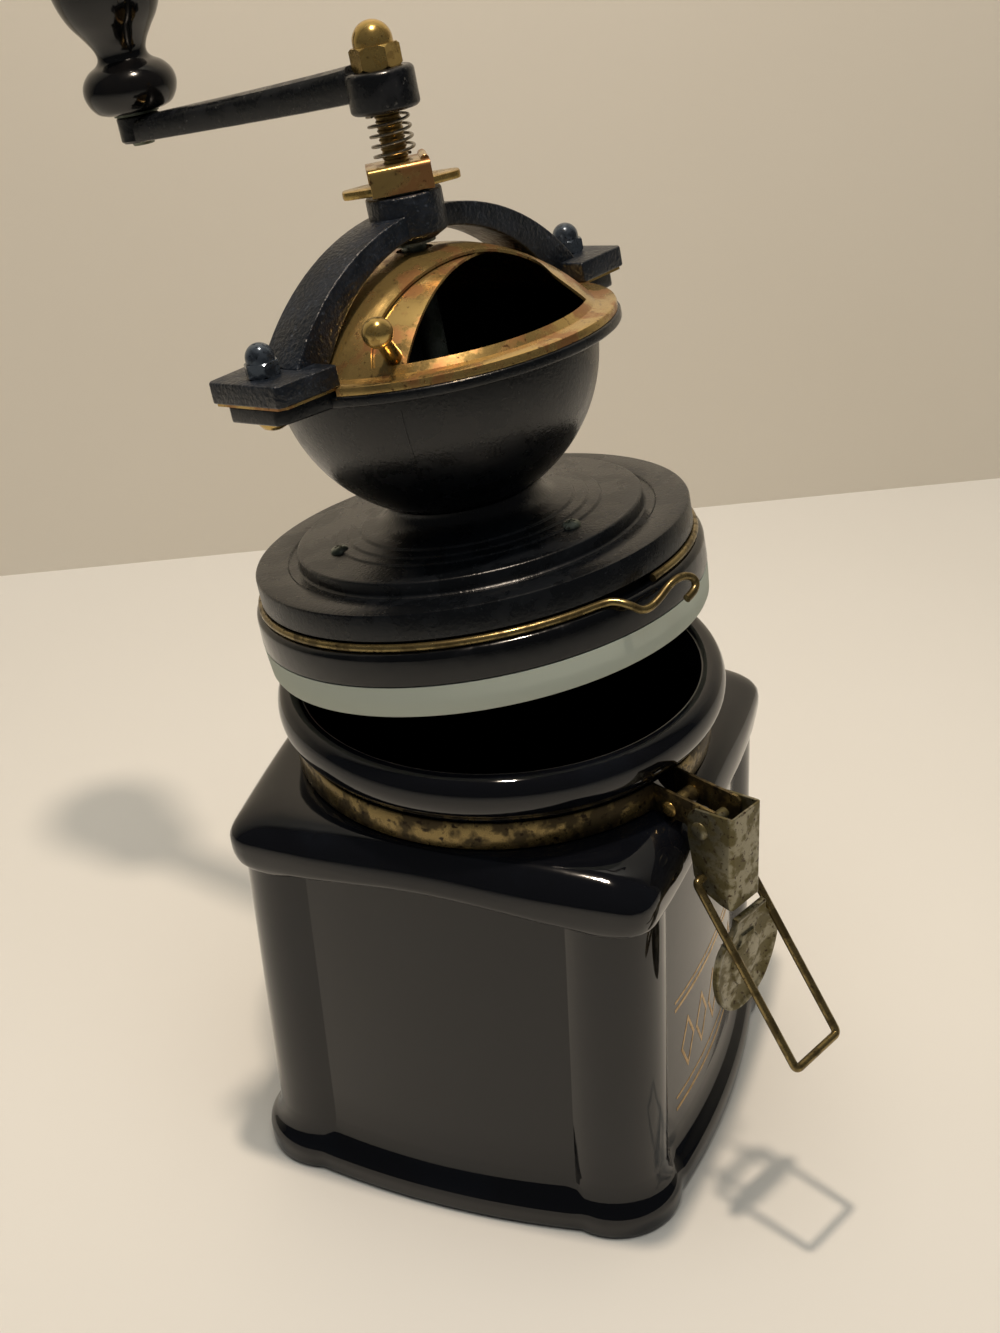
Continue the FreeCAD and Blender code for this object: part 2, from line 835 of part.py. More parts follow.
def ear_corners(inner, width_in, outer, width_out):
    return [
        (inner, -width_in),
        (outer - 2.0, -width_out),
        (outer, -width_out + 2.0),
        (outer, width_out - 2.0),
        (outer - 2.0, width_out),
        (inner, width_in),
    ]


def make_casting():
    body = turned_piece("grinder_casting", lid_frame(), casting_outline())
    ear = new_sketch(body, "XY_Plane", dim("flange_bottom"))
    draw_outline(ear, ear_corners(Size.of(40.0), 12.0, dim("pad_end") - 1.2, 9.6))
    side = pad(body, ear, dim("ear_top") - dim("flange_bottom"))
    mirror(body, [side], "YZ_Plane")
    holes = new_sketch(body, "XY_Plane", dim("ear_top") + 1)
    draw_circle(holes, dim("ear_bolt_x"), 0.0, 2.05)
    draw_circle(holes, -dim("ear_bolt_x"), 0.0, 2.05)
    pocket(body, holes, 6)
    seats = new_sketch(body, "XY_Plane", dim("plateau_top") + 1)
    screw_circles(seats, 2.45)
    pocket(body, seats, 1)
    screws = new_sketch(body, "XY_Plane", dim("plateau_top") + 1)
    screw_circles(screws, 1.35)
    pocket(body, screws, 13)
    rear = new_sketch(body, "XY_Plane", dim("ring_z") + 2.6)
    draw_rectangle(rear, -4.9, dim("disc_radius") - 2.4, 4.9, dim("disc_radius") + 4)
    pocket(body, rear, 8)


LID_SCREW_ANGLES = (-87.8, 32.2, 152.2)


def screw_circles(sketch, radius):
    for turn in LID_SCREW_ANGLES:
        reach = dim("lid_screw_circle")
        x, y = math.cos(math.radians(turn)), math.sin(math.radians(turn))
        draw_circle(sketch, reach * x, reach * y, radius)


def make_lower_disc():
    radius, bottom = dim("lower_disc_radius"), dim("lower_disc_bottom")
    parting = dim("ring_z")
    body = turned_piece(
        "lower_disc",
        lid_frame(),
        [
            (dim("spigot_radius") + 0.1, bottom),
            (31.0, bottom),
            (32.0, bottom + 4.0),
            (43.0, bottom + 4.0),
            (44.0, bottom),
            (radius - 0.6, bottom),
            (radius, bottom + 0.6),
            (radius, parting - dim("ring_wire") - 1.0, 0.9),
            (radius - 0.9, parting - dim("ring_wire") - 0.05),
            (dim("disc_radius") - 1.7, parting - dim("ring_wire") - 0.05),
            (dim("disc_radius") - 1.7, parting - 0.02),
            (dim("spigot_radius") + 0.1, parting - 0.02),
        ],
    )
    rear = new_sketch(body, "XY_Plane", parting + 1)
    draw_rectangle(rear, -4.9, dim("disc_radius") - 2.4, 4.9, radius + 4)
    pocket(body, rear, 4)
    screws = new_sketch(body, "XY_Plane", parting + 1)
    screw_circles(screws, 1.35)
    pocket(body, screws, 5)


def make_seal():
    top, bottom = dim("lower_disc_bottom") - 0.02, dim("seal_bottom")
    turned_piece(
        "lid_seal",
        lid_frame(),
        [
            (46.5, bottom + 1.0),
            (48.0, bottom),
            (53.6, bottom),
            (54.9, bottom + 0.9),
            (55.4, top),
            (46.0, top),
        ],
    )


def make_lid_screws():
    """Three cross-head screws that hold the discs together."""
    head_z = dim("plateau_top")
    for number, turn in enumerate(LID_SCREW_ANGLES, start=1):
        angle = math.radians(turn)
        place = Vector(math.cos(angle), math.sin(angle), 0) * num("lid_screw_circle")
        body = new_body(f"lid_screw_{number}", lid_frame() * Placement(place, Rotation()))
        sketch = new_sketch(body, "XZ_Plane")
        draw_outline(
            sketch,
            [
                (0.0, head_z - 14.5),
                (1.3, head_z - 14.5),
                (1.3, head_z + 0.01),
                (2.3, head_z + 0.01),
                (2.1, head_z + 0.8),
                (1.2, head_z + 1.4),
                (0.0, head_z + 1.5),
            ],
        )
        revolve(body, sketch)
        cross = new_sketch(body, "XY_Plane", head_z + 2)
        draw_rectangle(cross, -1.3, -0.25, 1.3, 0.25)
        slot = pocket(body, cross, 1.3)
        polar(body, [slot], 4)


def round_wire_path(points, bend):
    """Edges through 3D points with each inner corner rounded by a tangent arc."""
    edges = []
    start = points[0]
    for before, corner, after in zip(points, points[1:], points[2:]):
        arrive = (corner - before).normalize()
        leave = (after - corner).normalize()
        half = arrive.getAngle(leave) / 2
        room = min((corner - before).Length, (after - corner).Length) * 0.48
        trim = min(bend * math.tan(half), room)
        first, last = corner - arrive * trim, corner + leave * trim
        inward = (leave - arrive).normalize()
        radius = trim / math.tan(half)
        middle = corner + inward * (radius / math.cos(half) - radius)
        edges.append(Part.LineSegment(start, first).toShape())
        edges.append(Part.Arc(first, middle, last).toShape())
        start = last
    edges.append(Part.LineSegment(start, points[-1]).toShape())
    return edges


def pipe_along(edges, radius):
    wire = Part.Wire(edges)
    start = wire.OrderedVertexes[0].Point
    first = wire.OrderedEdges[0]
    way = first.tangentAt(first.FirstParameter)
    if (first.valueAt(first.FirstParameter) - start).Length > 1e-6:
        way = first.tangentAt(first.LastParameter) * -1
    ring = Part.Wire([Part.Circle(start, way, radius).toShape()])
    return wire.makePipeShell([ring], True, False)


def make_wire_ring():
    """Brass wire in the groove between the discs, with the hook that the bail pulls on."""
    radius, height, wire = num("ring_radius"), num("ring_z"), num("ring_wire")

    def at(turn, out=0.0, rise=0.0):
        angle = math.radians(turn)
        reach = radius + out
        return Vector(reach * math.cos(angle), reach * math.sin(angle), height + rise)

    left, right = 255.6, -87.5
    stations = [right, 30.0, 147.0, left]
    edges = []
    for start, end in zip(stations, stations[1:]):
        edges.append(Part.Arc(at(start), at((start + end) / 2), at(end)).toShape())
    angle = math.radians(left)
    along = Vector(-math.sin(angle), math.cos(angle), 0)
    hook = [
        at(left),
        at(left) + along * 2.2,
        Vector(-9.9, -57.0, height),
        Vector(-7.6, -58.9, height - 3.2),
        Vector(-3.0, -59.3, height - 1.8),
        Vector(1.9, -60.0, height),
        Vector(7.2, -61.0, height - 0.6),
        Vector(5.0, -62.6, height - 4.0),
    ]
    edges += round_wire_path(hook, 1.6)
    plain_part("wire_ring", pipe_along(edges, wire), lid_frame())


def make_hinge_strap():
    """Strap of the lid's hinge: an eye round the wire ring, a leg and an eye on the axle."""
    body = new_body("hinge_strap", lid_frame())
    hinge_y, hinge_z = dim("hinge_y"), dim("hinge_z")
    ring_y, ring_z = dim("ring_radius"), dim("ring_z")
    leg = dim("hinge_y") - 1.0
    eyes = new_sketch(body, "YZ_Plane")
    draw_circle(eyes, hinge_y, hinge_z, 2.9)
    pad(body, eyes, 8.4, middle=True)
    leg_sketch = new_sketch(body, "YZ_Plane")
    draw_outline(
        leg_sketch,
        [
            (leg, hinge_z),
            (leg + 1.1, hinge_z),
            (leg + 1.1, ring_z + 0.6),
            (ring_y, ring_z + 0.6),
            (ring_y, ring_z - 0.6),
            (leg, ring_z - 0.6),
        ],
    )
    pad(body, leg_sketch, 8.4, middle=True)
    top = new_sketch(body, "YZ_Plane")
    draw_circle(top, ring_y, ring_z, 2.0)
    pad(body, top, 8.4, middle=True)
    bores = new_sketch(body, "YZ_Plane")
    draw_circle(bores, hinge_y, hinge_z, dim("axle_radius") + 0.05)
    draw_circle(bores, ring_y, ring_z, dim("ring_wire") + 0.25)
    pocket(body, bores, 20, middle=True)


# Hopper cover and door


def dome_centre():
    return num("cover_base") - math.sqrt(num("dome_radius") ** 2 - num("dome_foot") ** 2)


def dome_point(radius, reach):
    """Height of the sphere of this radius about the dome's centre, at a distance from the shaft."""
    return dome_centre() + math.sqrt(radius**2 - reach**2)


def make_hopper_cover():
    """Brass dome with a rolled flange, two ear tongues and the eye-shaped mouth."""
    outer = num("dome_radius")
    inner = outer - num("cover_sheet")
    base, ear_top, foot = dim("cover_base"), dim("ear_top"), dim("dome_foot")
    hole, edge = 4.3, dim("flange_radius") - 0.6
    foot_inner = math.sqrt(inner**2 - (num("ear_top") - dome_centre()) ** 2)
    body = turned_piece(
        "hopper_cover",
        lid_frame(),
        [
            (foot_inner, ear_top),
            (edge - 0.85, ear_top),
            (edge - 0.85, dim("flange_top") + 0.05),
            (edge, dim("flange_top") + 0.05),
            (edge, base - 0.5, 0.5),
            (edge - 0.5, base),
            (foot, base, dim("dome_radius")),
            (hole, dome_point(outer, hole)),
            (hole, dome_point(inner, hole), -(dim("dome_radius") - dim("cover_sheet"))),
        ],
    )
    tongue = new_sketch(body, "XY_Plane", ear_top)
    draw_outline(tongue, ear_corners(Size.of(41.5), 12.4, dim("pad_end") - 0.5, 12.2))
    side = pad(body, tongue, base - ear_top)
    mirror(body, [side], "YZ_Plane")
    relief = new_sketch(body, "XY_Plane", ear_top)
    draw_rectangle(relief, -60.0, -12.6, 60.0, 12.6)
    pocket(body, relief, 5)
    holes = new_sketch(body, "XY_Plane", base + 1)
    draw_circle(holes, dim("ear_bolt_x"), 0.0, 2.05)
    draw_circle(holes, -dim("ear_bolt_x"), 0.0, 2.05)
    pocket(body, holes, 3)
    arc, back = dim("mouth_arc"), dim("mouth_back")
    left, right = math.radians(num("mouth_left")), math.radians(num("mouth_right"))
    mouth = new_sketch(body, "XY_Plane", 240.0)
    draw_outline(
        mouth,
        [
            (arc * math.cos(left), arc * math.sin(left), arc),
            (arc * math.cos(right), arc * math.sin(right)),
            (17.6, -27.6, -9.0),
            (19.6, -20.4, 11.0),
            (8.5, -back - 0.7),
            (-22.5, -back, 25.0),
        ],
    )
    pocket(body, mouth, 60)


def make_hopper_door():
    """Inner dome segment that turns about the shaft behind the cover's mouth."""
    outer = num("dome_radius") - num("cover_sheet") - num("door_gap")
    inner = outer - num("cover_sheet")
    hole = num("shaft_radius") + 0.06
    low = num("cover_base") + 1.4
    foot_out = math.sqrt(outer**2 - (low - dome_centre()) ** 2)
    foot_in = math.sqrt(inner**2 - (low - dome_centre()) ** 2)
    body = turned_piece(
        "hopper_door",
        lid_frame(),
        [
            (foot_in, low),
            (foot_out, low, outer),
            (hole, dome_point(outer, hole)),
            (hole, dome_point(inner, hole), -inner),
        ],
    )
    edge = new_sketch(body, "XY_Plane", 240.0, num("door_turn"))
    draw_rectangle(edge, -60.0, -60.0, 60.0, -dim("door_edge"))
    pocket(body, edge, 60)


def make_door_knob():
    outer = num("dome_radius") - num("cover_sheet") - num("door_gap")
    lean = math.degrees(math.asin(num("knob_foot_radius") / outer))
    frame = turned(lid_frame(), num("knob_foot_angle"))
    frame = frame * Placement(Vector(0, 0, dome_centre()), Rotation(Vector(0, 1, 0), lean))
    ball, offset = dim("knob_ball"), dim("knob_ball_offset")
    start = outer + 0.01
    neck = 1.7
    joint = Size.of(start) + offset - math.sqrt(num("knob_ball") ** 2 - neck**2)
    turned_piece(
        "door_knob",
        frame,
        [
            (0.0, start),
            (2.0, start),
            (1.9, start + 1.2),
            (neck, joint, ball),
            (0.0, Size.of(start) + offset + ball),
        ],
    )


# Yoke and ear bolts


def make_yoke():
    """Iron arch over the cover: curved band, two thick pads and the shaft boss."""
    body = new_body("yoke", lid_frame())
    base, pad_top = dim("cover_base"), dim("pad_top")
    foot_out = math.sqrt(num("arch_outer") ** 2 - (num("arch_top") - num("arch_outer") - num("pad_top")) ** 2)
    rise_in = num("arch_inner") - num("arch_inner_top") + num("pad_top")
    foot_in = math.sqrt(num("arch_inner") ** 2 - rise_in**2)
    arch = new_sketch(body, "XZ_Plane")
    draw_outline(
        arch,
        [
            (-foot_out + 1.0, base),
            (-foot_out, pad_top, -dim("arch_outer")),
            (foot_out, pad_top),
            (foot_out - 1.0, base),
            (39.7, base),
            (foot_in, pad_top, dim("arch_inner")),
            (-foot_in, pad_top),
            (-39.7, base),
        ],
    )
    pad(body, arch, dim("arch_width"), middle=True)
    ear = new_sketch(body, "XY_Plane", base)
    draw_outline(ear, ear_corners(Size.of(40.4), 13.2, dim("pad_end"), 12.8))
    side = pad(body, ear, pad_top - base)
    mirror(body, [side], "YZ_Plane")
    boss = new_sketch(body, "XY_Plane", dim("boss_bottom"))
    draw_circle(boss, 0.0, 0.0, dim("boss_radius"))
    pad(body, boss, dim("boss_top") - dim("boss_bottom"))
    bore = new_sketch(body, "XY_Plane", dim("boss_top") + 1)
    draw_circle(bore, 0.0, 0.0, dim("shaft_radius") + 1.15)
    pocket(body, bore, 20)
    spots = new_sketch(body, "XY_Plane", pad_top)
    draw_circle(spots, dim("ear_bolt_x"), 0.0, 4.7)
    draw_circle(spots, -dim("ear_bolt_x"), 0.0, 4.7)
    pocket(body, spots, 10, reverse=True)
    holes = new_sketch(body, "XY_Plane", pad_top + 1)
    draw_circle(holes, dim("ear_bolt_x"), 0.0, 2.05)
    draw_circle(holes, -dim("ear_bolt_x"), 0.0, 2.05)
    pocket(body, holes, 8)


def make_boss_bush():
    inner = dim("shaft_radius") + 0.05
    outer = dim("shaft_radius") + 1.14
    turned_piece(
        "boss_bush",
        lid_frame(),
        [
            (inner, dim("boss_bottom") - 0.6),
            (outer + 1.2, dim("boss_bottom") - 0.6),
            (outer + 1.2, dim("boss_bottom") - 0.01),
            (outer, dim("boss_bottom") - 0.01),
            (outer, dim("boss_top")),
            (inner, dim("boss_top")),
        ],
    )


def domed_nut(label, frame, flats, hexagon, bottom, bore, dome):
    """Hexagon nut closed by a dome, with a blind bore from below."""
    body = new_body(label, frame)
    hexa = new_sketch(body, "XY_Plane", bottom)
    draw_hexagon(hexa, flats)
    pad(body, hexa, hexagon)
    top = Size.of(bottom) + hexagon
    crown = new_sketch(body, "XZ_Plane")
    dome_low = top - 0.4
    draw_outline(crown, [(0.0, dome_low), (dome, dome_low), (dome, top + 0.9, dome), (0.0, top + 0.9 + dome)])
    revolve(body, crown)
    drill = new_sketch(body, "XY_Plane", Size.of(bottom))
    draw_circle(drill, 0.0, 0.0, bore)
    pocket(body, drill, hexagon - 0.3, reverse=True)


def make_ear_bolts():
    for side, name in ((-1, "left"), (1, "right")):
        place = lid_frame() * Placement(Vector(side * num("ear_bolt_x"), 0, 0), Rotation())
        under = dim("flange_bottom") - 0.01
        turned_piece(
            f"ear_bolt_{name}",
            place,
            [
                (0.0, under - 2.6),
                (2.0, under - 2.4),
                (3.4, under - 1.2),
                (3.7, under),
                (2.0, under),
                (2.0, dim("pad_top") + 2.6),
                (0.0, dim("pad_top") + 2.6),
            ],
        )
        bottom = dim("pad_top") + 0.01
        domed_nut(f"ear_nut_{name}", place, dim("ear_nut_flat"), dim("ear_nut_hex"), bottom, 2.03, Size.of(3.2))


# Burr set and shaft line


def burr_radius(height, gap=0.0):
    """Radius of the cone between the burrs: narrow above, wide below."""
    share = (num("burr_top") - height) / (num("burr_top") - num("burr_bottom"))
    return 5.2 + 13.0 * share + gap


def make_inner_burr():
    """Conical burr with twelve sloping flutes, keyed on the shaft."""
    low, high = num("burr_bottom"), num("burr_top") - 4
    body = turned_piece(
        "inner_burr",
        lid_frame(),
        [
            (num("shaft_radius") + 0.02, low),
            (burr_radius(low) - 0.8, low),
            (burr_radius(low), low + 0.8),
            (burr_radius(high), high),
            (num("shaft_radius") + 0.02, high + 1.5),
        ],
    )
    flute = new_sketch(body, "XZ_Plane", 0.0, 0.0)
    top = high + 3
    draw_outline(
        flute,
        [
            (burr_radius(low) - 2.6, low - 1),
            (burr_radius(low) + 2.0, low - 1),
            (burr_radius(low) + 2.0, top),
            (burr_radius(top) - 1.6, top),
        ],
    )
    slot = pocket(body, flute, 1.5, middle=True)
    polar(body, [slot], 12)


def make_outer_burr():
    """Burr ring in the casting's seat, with eighteen inner flutes."""
    low, high = num("lower_disc_bottom") + 0.3, num("lower_disc_bottom") + 20.9
    gap = num("burr_gap")
    body = turned_piece(
        "outer_burr",
        lid_frame(),
        [
            (burr_radius(low, gap) + 0.9, low),
            (dim("burr_seat") - 0.02, low),
            (dim("burr_seat") - 0.02, high),
            (burr_radius(high, gap) + 1.6, high),
        ],
    )
    flute = new_sketch(body, "XZ_Plane")
    draw_outline(
        flute,
        [
            (burr_radius(low, gap), low - 1),
            (burr_radius(low, gap) + 1.7, low - 1),
            (burr_radius(high, gap) + 3.4, high + 1),
            (burr_radius(high, gap), high + 1),
        ],
    )
    slot = pocket(body, flute, 1.1, middle=True)
    polar(body, [slot], 18)


def make_bridge():
    """Lower bearing: a bar across the burrs with a boss for the shaft's foot."""
    body = new_body("bearing_bridge", lid_frame())
    top, thick = dim("bridge_top"), dim("bridge_thickness")
    bar = new_sketch(body, "XY_Plane", top - thick)
    end = dim("bridge_screw_x") + 3.6
    draw_outline(bar, [(-end, -4.2), (end, -4.2), (end, 4.2), (-end, 4.2)])
    pad(body, bar, thick)
    feet = new_sketch(body, "XY_Plane", top - thick)
    draw_circle(feet, 0.0, 0.0, 6.6)
    pad(body, feet, thick)
    leg = new_sketch(body, "XY_Plane", top - thick)
    draw_rectangle(leg, dim("burr_seat") + 0.6, -4.2, end, 4.2)
    stand = pad(body, leg, dim("lower_disc_bottom") - top + thick - 0.01)
    mirror(body, [stand], "YZ_Plane")
    bore = new_sketch(body, "XY_Plane", top - thick + 1.2)
    draw_circle(bore, 0.0, 0.0, dim("shaft_radius") + 0.06)
    pocket(body, bore, 20, reverse=True)
    holes = new_sketch(body, "XY_Plane", top - thick)
    draw_circle(holes, dim("bridge_screw_x"), 0.0, 1.55)
    draw_circle(holes, -dim("bridge_screw_x"), 0.0, 1.55)
    pocket(body, holes, 20, reverse=True)


def make_bridge_screws():
    under = dim("bridge_top") - dim("bridge_thickness") - 0.01
    for side, name in ((-1, "left"), (1, "right")):
        place = lid_frame() * Placement(Vector(side * num("bridge_screw_x"), 0, 0), Rotation())
        turned_piece(
            f"bridge_screw_{name}",
            place,
            [
                (0.0, under - 1.8),
                (1.6, under - 1.6),
                (2.7, under),
                (1.5, under),
                (1.5, dim("lower_disc_bottom") - 0.02),
                (0.0, dim("lower_disc_bottom") - 0.02),
            ],
        )


def make_shaft():
    radius = dim("shaft_radius")
    turned_piece(
        "shaft",
        lid_frame(),
        [
            (0.0, dim("shaft_bottom")),
            (radius - 0.8, dim("shaft_bottom")),
            (radius, dim("shaft_bottom") + 0.8),
            (radius, dim("shaft_top") - 0.8),
            (radius - 0.8, dim("shaft_top")),
            (0.0, dim("shaft_top")),
        ],
    )


def make_thrust_washer():
    turned_piece(
        "thrust_washer",
        lid_frame(),
        [
            (dim("shaft_radius") + 0.05, dim("boss_top") + 0.01),
            (6.1, dim("boss_top") + 0.01),
            (6.1, dim("boss_top") + dim("washer_thickness")),
            (dim("shaft_radius") + 0.05, dim("boss_top") + dim("washer_thickness")),
        ],
    )


def make_adjusting_nut():
    """Brass wing plate with a round hub, screwed on the shaft's thread."""
    frame = turned(lid_frame(), num("wing_turn"))
    body = new_body("adjusting_nut", frame)
    low = dim("boss_top") + dim("washer_thickness") + 0.01
    wings = new_sketch(body, "XY_Plane", low)
    draw_outline(
        wings,
        [
            (-13.6, -2.0),
            (-12.6, -2.8),
            (-6.0, -5.3),
            (6.0, -5.3),
            (12.6, -2.8),
            (13.6, -2.0),
            (13.6, 2.0),
            (12.6, 2.8),
            (6.0, 5.3),
            (-6.0, 5.3),
            (-12.6, 2.8),
            (-13.6, 2.0),
        ],
    )
    pad(body, wings, 1.8)
    hub = new_sketch(body, "XY_Plane", low)
    draw_circle(hub, 0.0, 0.0, 5.0)
    pad(body, hub, dim("nut_top") - low)
    bore = new_sketch(body, "XY_Plane", dim("nut_top") + 1)
    draw_circle(bore, 0.0, 0.0, dim("shaft_radius") + 0.04)
    pocket(body, bore, 12)


def make_locking_clip():
    """Folded brass clip over the wing plate: top plate, two skirts and a rolled end."""
    frame = turned(lid_frame(), num("clip_turn"))
    body = new_body("locking_clip", frame)
    top, sheet_size = dim("clip_top"), Size.of(0.6)
    bottom = dim("boss_top") + 0.6
    section = new_sketch(body, "YZ_Plane")
    out = Size.of(6.9)
    inside = out - sheet_size
    draw_outline(
        section,
        [
            (-out, bottom),
            (-inside, bottom),
            (-inside, top - sheet_size),
            (inside, top - sheet_size),
            (inside, bottom),
            (out, bottom),
            (out, top - 0.6, 0.6),
            (out - 0.6, top),
            (-out + 0.6, top, 0.6),
            (-out, top - 0.6),
        ],
    )
    pad(body, section, 14.2, middle=True)
    roll = new_sketch(body, "XZ_Plane")
    draw_outline(
        roll,
        [(-7.1, top - 0.3), (-4.9, top - 0.3), (-4.9, top), (-5.3, top + 0.9, 0.9), (-7.1, top + 0.9)],
    )
    pad(body, roll, 10.4, middle=True)
    bore = new_sketch(body, "XY_Plane", top + 1)
    draw_circle(bore, 0.0, 0.0, dim("shaft_radius") + 0.06)
    pocket(body, bore, 4)


def helix_point(turn, low, rise):
    angle = 2 * math.pi * turn
    radius = num("spring_radius")
    return Vector(radius * math.cos(angle), radius * math.sin(angle), low + rise * turn)


def make_spring():
    """One unbroken coil: quarter-turn biarcs along a helix, ends left open."""
    wire, turns = num("spring_wire"), num("spring_turns")
    low = num("clip_top") + wire + 0.05
    high = num("hub_bottom") - wire - 0.05
    rise = (high - low) / turns
    steps = int(round(turns * 8))
    points = [helix_point(step / 8, low, rise) for step in range(steps + 1)]
    edges = []
    for index in range(0, steps - 1, 2):
        edges.append(Part.Arc(points[index], points[index + 1], points[index + 2]).toShape())
    check_spring_gap(rise, wire)
    plain_part("spring", pipe_along(edges, wire), lid_frame())


def check_spring_gap(rise, wire):
    """Least distance between the coil's surface and its own next turns, on points."""
    turns = num("spring_turns")
    samples = [helix_point(step / 48, 0.0, rise) for step in range(int(turns * 48))]
    least = min(
        (first - second).Length
        for index, first in enumerate(samples)
        for second in samples[index + 30 :]
    )
    print("spring: least gap to itself", round(least - 2 * wire, 2), "mm")


def arm_wire(x, half_width, low, high):
    """Section of the crank arm: flat underside and sides, crowned top."""
    crown = (high - low) * 0.22
    a = Vector(x, -half_width, low)
    b = Vector(x, half_width, low)
    c = Vector(x, half_width, high - crown)
    d = Vector(x, -half_width, high - crown)
    top = Part.Arc(c, Vector(x, 0, high), d).toShape()
    lines = [Part.LineSegment(p, q).toShape() for p, q in ((a, b), (b, c))]
    return Part.Wire(lines + [top, Part.LineSegment(d, a).toShape()])


def make_crank_arm():
    """Forged arm: tall hub, tapering crowned arm that falls a little, small end boss."""
    reach, hub = num("crank_reach"), num("hub_radius")
    hub_low, hub_high = num("hub_bottom"), num("hub_top")
    end_low, end_high = num("crank_end_bottom"), num("crank_end_top")
    root_low, root_high = num("arm_root_bottom"), num("arm_root_top")
    levels = 6
    sections = []
    for step in range(levels + 1):
        share = step / levels
        x = 4.0 + (reach - 5.0) * share
        width = 5.4 + (4.7 - 5.4) * share
        fall = share**0.85
        low = root_low + (end_low - root_low) * fall
        high = root_high + (end_high - 0.6 - root_high) * fall
        sections.append(arm_wire(x, width, low, high))
    arm = Part.makeLoft(sections, True, False)
    arm = arm.cut(Part.makeCylinder(hub - 0.6, 20, Vector(0, 0, hub_high)))
    boss = Part.makeCylinder(hub, hub_high - hub_low, Vector(0, 0, hub_low))
    end = Part.makeCylinder(num("crank_end_radius"), end_high - end_low, Vector(reach, 0, end_low))
    solid = boss.fuse([arm, end])
    bore = num("shaft_radius") + 0.01
    solid = solid.cut(Part.makeCylinder(bore, 30, Vector(0, 0, hub_low - 5)))
    solid = solid.cut(Part.makeCylinder(2.22, 30, Vector(reach, 0, end_low - 5)))
    plain_part("crank_arm", solid.removeSplitter(), turned(lid_frame(), num("crank_turn")))


def crank_end_frame():
    frame = turned(lid_frame(), num("crank_turn"))
    return frame * Placement(Vector(num("crank_reach"), 0, 0), Rotation())


def make_knob():
    """Turned wooden knob: base ring, waist and egg, bored for its pin."""
    low, tall = num("knob_bottom"), num("knob_height")
    bore, cup = 2.5, 4.9
    turned_piece(
        "knob",
        crank_end_frame(),
        [
            (bore, low),
            (7.4, low),
            (10.2, low + 1.6, 4.6),
            (10.9, low + 8.0, -7.0),
            (6.1, low + 13.0, -6.4),
            (7.9, low + 18.0),
            (11.9, low + 24.0, 24.0),
            (14.2, low + 34.0, 13.4),
            (8.6, low + tall - 1.6, 14.0),
            (cup, low + tall - 0.4),
            (cup, low + tall - 4.6),
            (bore, low + tall - 4.6),
        ],
    )


def make_knob_fittings():
    low, tall = num("knob_bottom"), num("knob_height")
    seat = low + tall - 4.6
    end_low = num("crank_end_bottom")
    turned_piece(
        "knob_pin",
        crank_end_frame(),
        [
            (0.0, end_low - 0.9),
            (2.6, end_low - 0.9),
            (3.0, end_low - 0.02),
            (2.2, end_low - 0.02),
            (2.2, num("crank_end_top") + 0.7),
            (2.44, num("crank_end_top") + 0.7),
            (2.44, seat + 0.06),
            (4.5, seat + 0.06),
            (4.3, seat + 1.7),
            (3.0, seat + 2.3),
            (0.0, seat + 2.5),
        ],
    )
    turned_piece(
        "knob_washer",
        crank_end_frame(),
        [
            (2.22, num("crank_end_top") + 0.01),
            (5.6, num("crank_end_top") + 0.01),
            (5.6, num("crank_end_top") + 0.61),
            (2.22, num("crank_end_top") + 0.61),
        ],
    )


def make_shaft_line():
    make_shaft()
    make_thrust_washer()
    make_adjusting_nut()
    make_locking_clip()
    make_spring()
    make_crank_arm()
    nut_frame = turned(lid_frame(), 12.0)
    bottom = dim("hub_top") + 0.01
    domed_nut("crank_nut", nut_frame, dim("crank_nut_flat"), dim("crank_nut_hex"), bottom, 3.03, Size.of(4.55))
    make_knob()
    make_knob_fittings()


# Build, check and write


def check_parts():
    """Stop before anything is written if an object failed or a shape is not sound."""
    for item in doc.Objects:
        if {"Invalid", "Error"} & set(item.State):
            raise RuntimeError(f"{item.Label}: {item.State}")
    for label, part in parts.items():
        shape = part.Shape
        if shape.isNull() or not shape.isValid() or not shape.Solids:
            raise RuntimeError(f"{label}: shape is not a valid solid")
        if len(shape.Solids) > 1:
            print(label, "has", len(shape.Solids), "solids")


def write_parts():
    os.makedirs("parts", exist_ok=True)
    for label, part in parts.items():
        part.Shape.exportStep(f"parts/{label}.step")


fill_sheet()
make_canister()
make_neck_band()
make_strap_pins()
make_clamp_lever()
make_thumb_tab()
make_bail()
make_casting()
make_lower_disc()
make_seal()
make_lid_screws()
make_wire_ring()
make_hinge_strap()
make_hopper_cover()
make_hopper_door()
make_door_knob()
make_yoke()
make_boss_bush()
make_ear_bolts()
make_inner_burr()
make_outer_burr()
make_bridge()
make_bridge_screws()
make_shaft_line()
doc.recompute()
check_parts()
write_parts()
print(len(parts), "sub-parts written")
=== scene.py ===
"""Hand coffee grinder hinged on a glazed canister: dressed pieces, finishes, stage and camera.

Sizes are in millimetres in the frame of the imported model. The neck strap, the clamp and the hinge share a
frame that is turned on the neck, and the lid's pieces are built closed and then stood open about the hinge.
"""
import bisect
import logging
import math
from dataclasses import dataclass
from enum import Enum
from typing import Iterable, Sequence

import bmesh
import bpy
from mathutils import Matrix, Vector


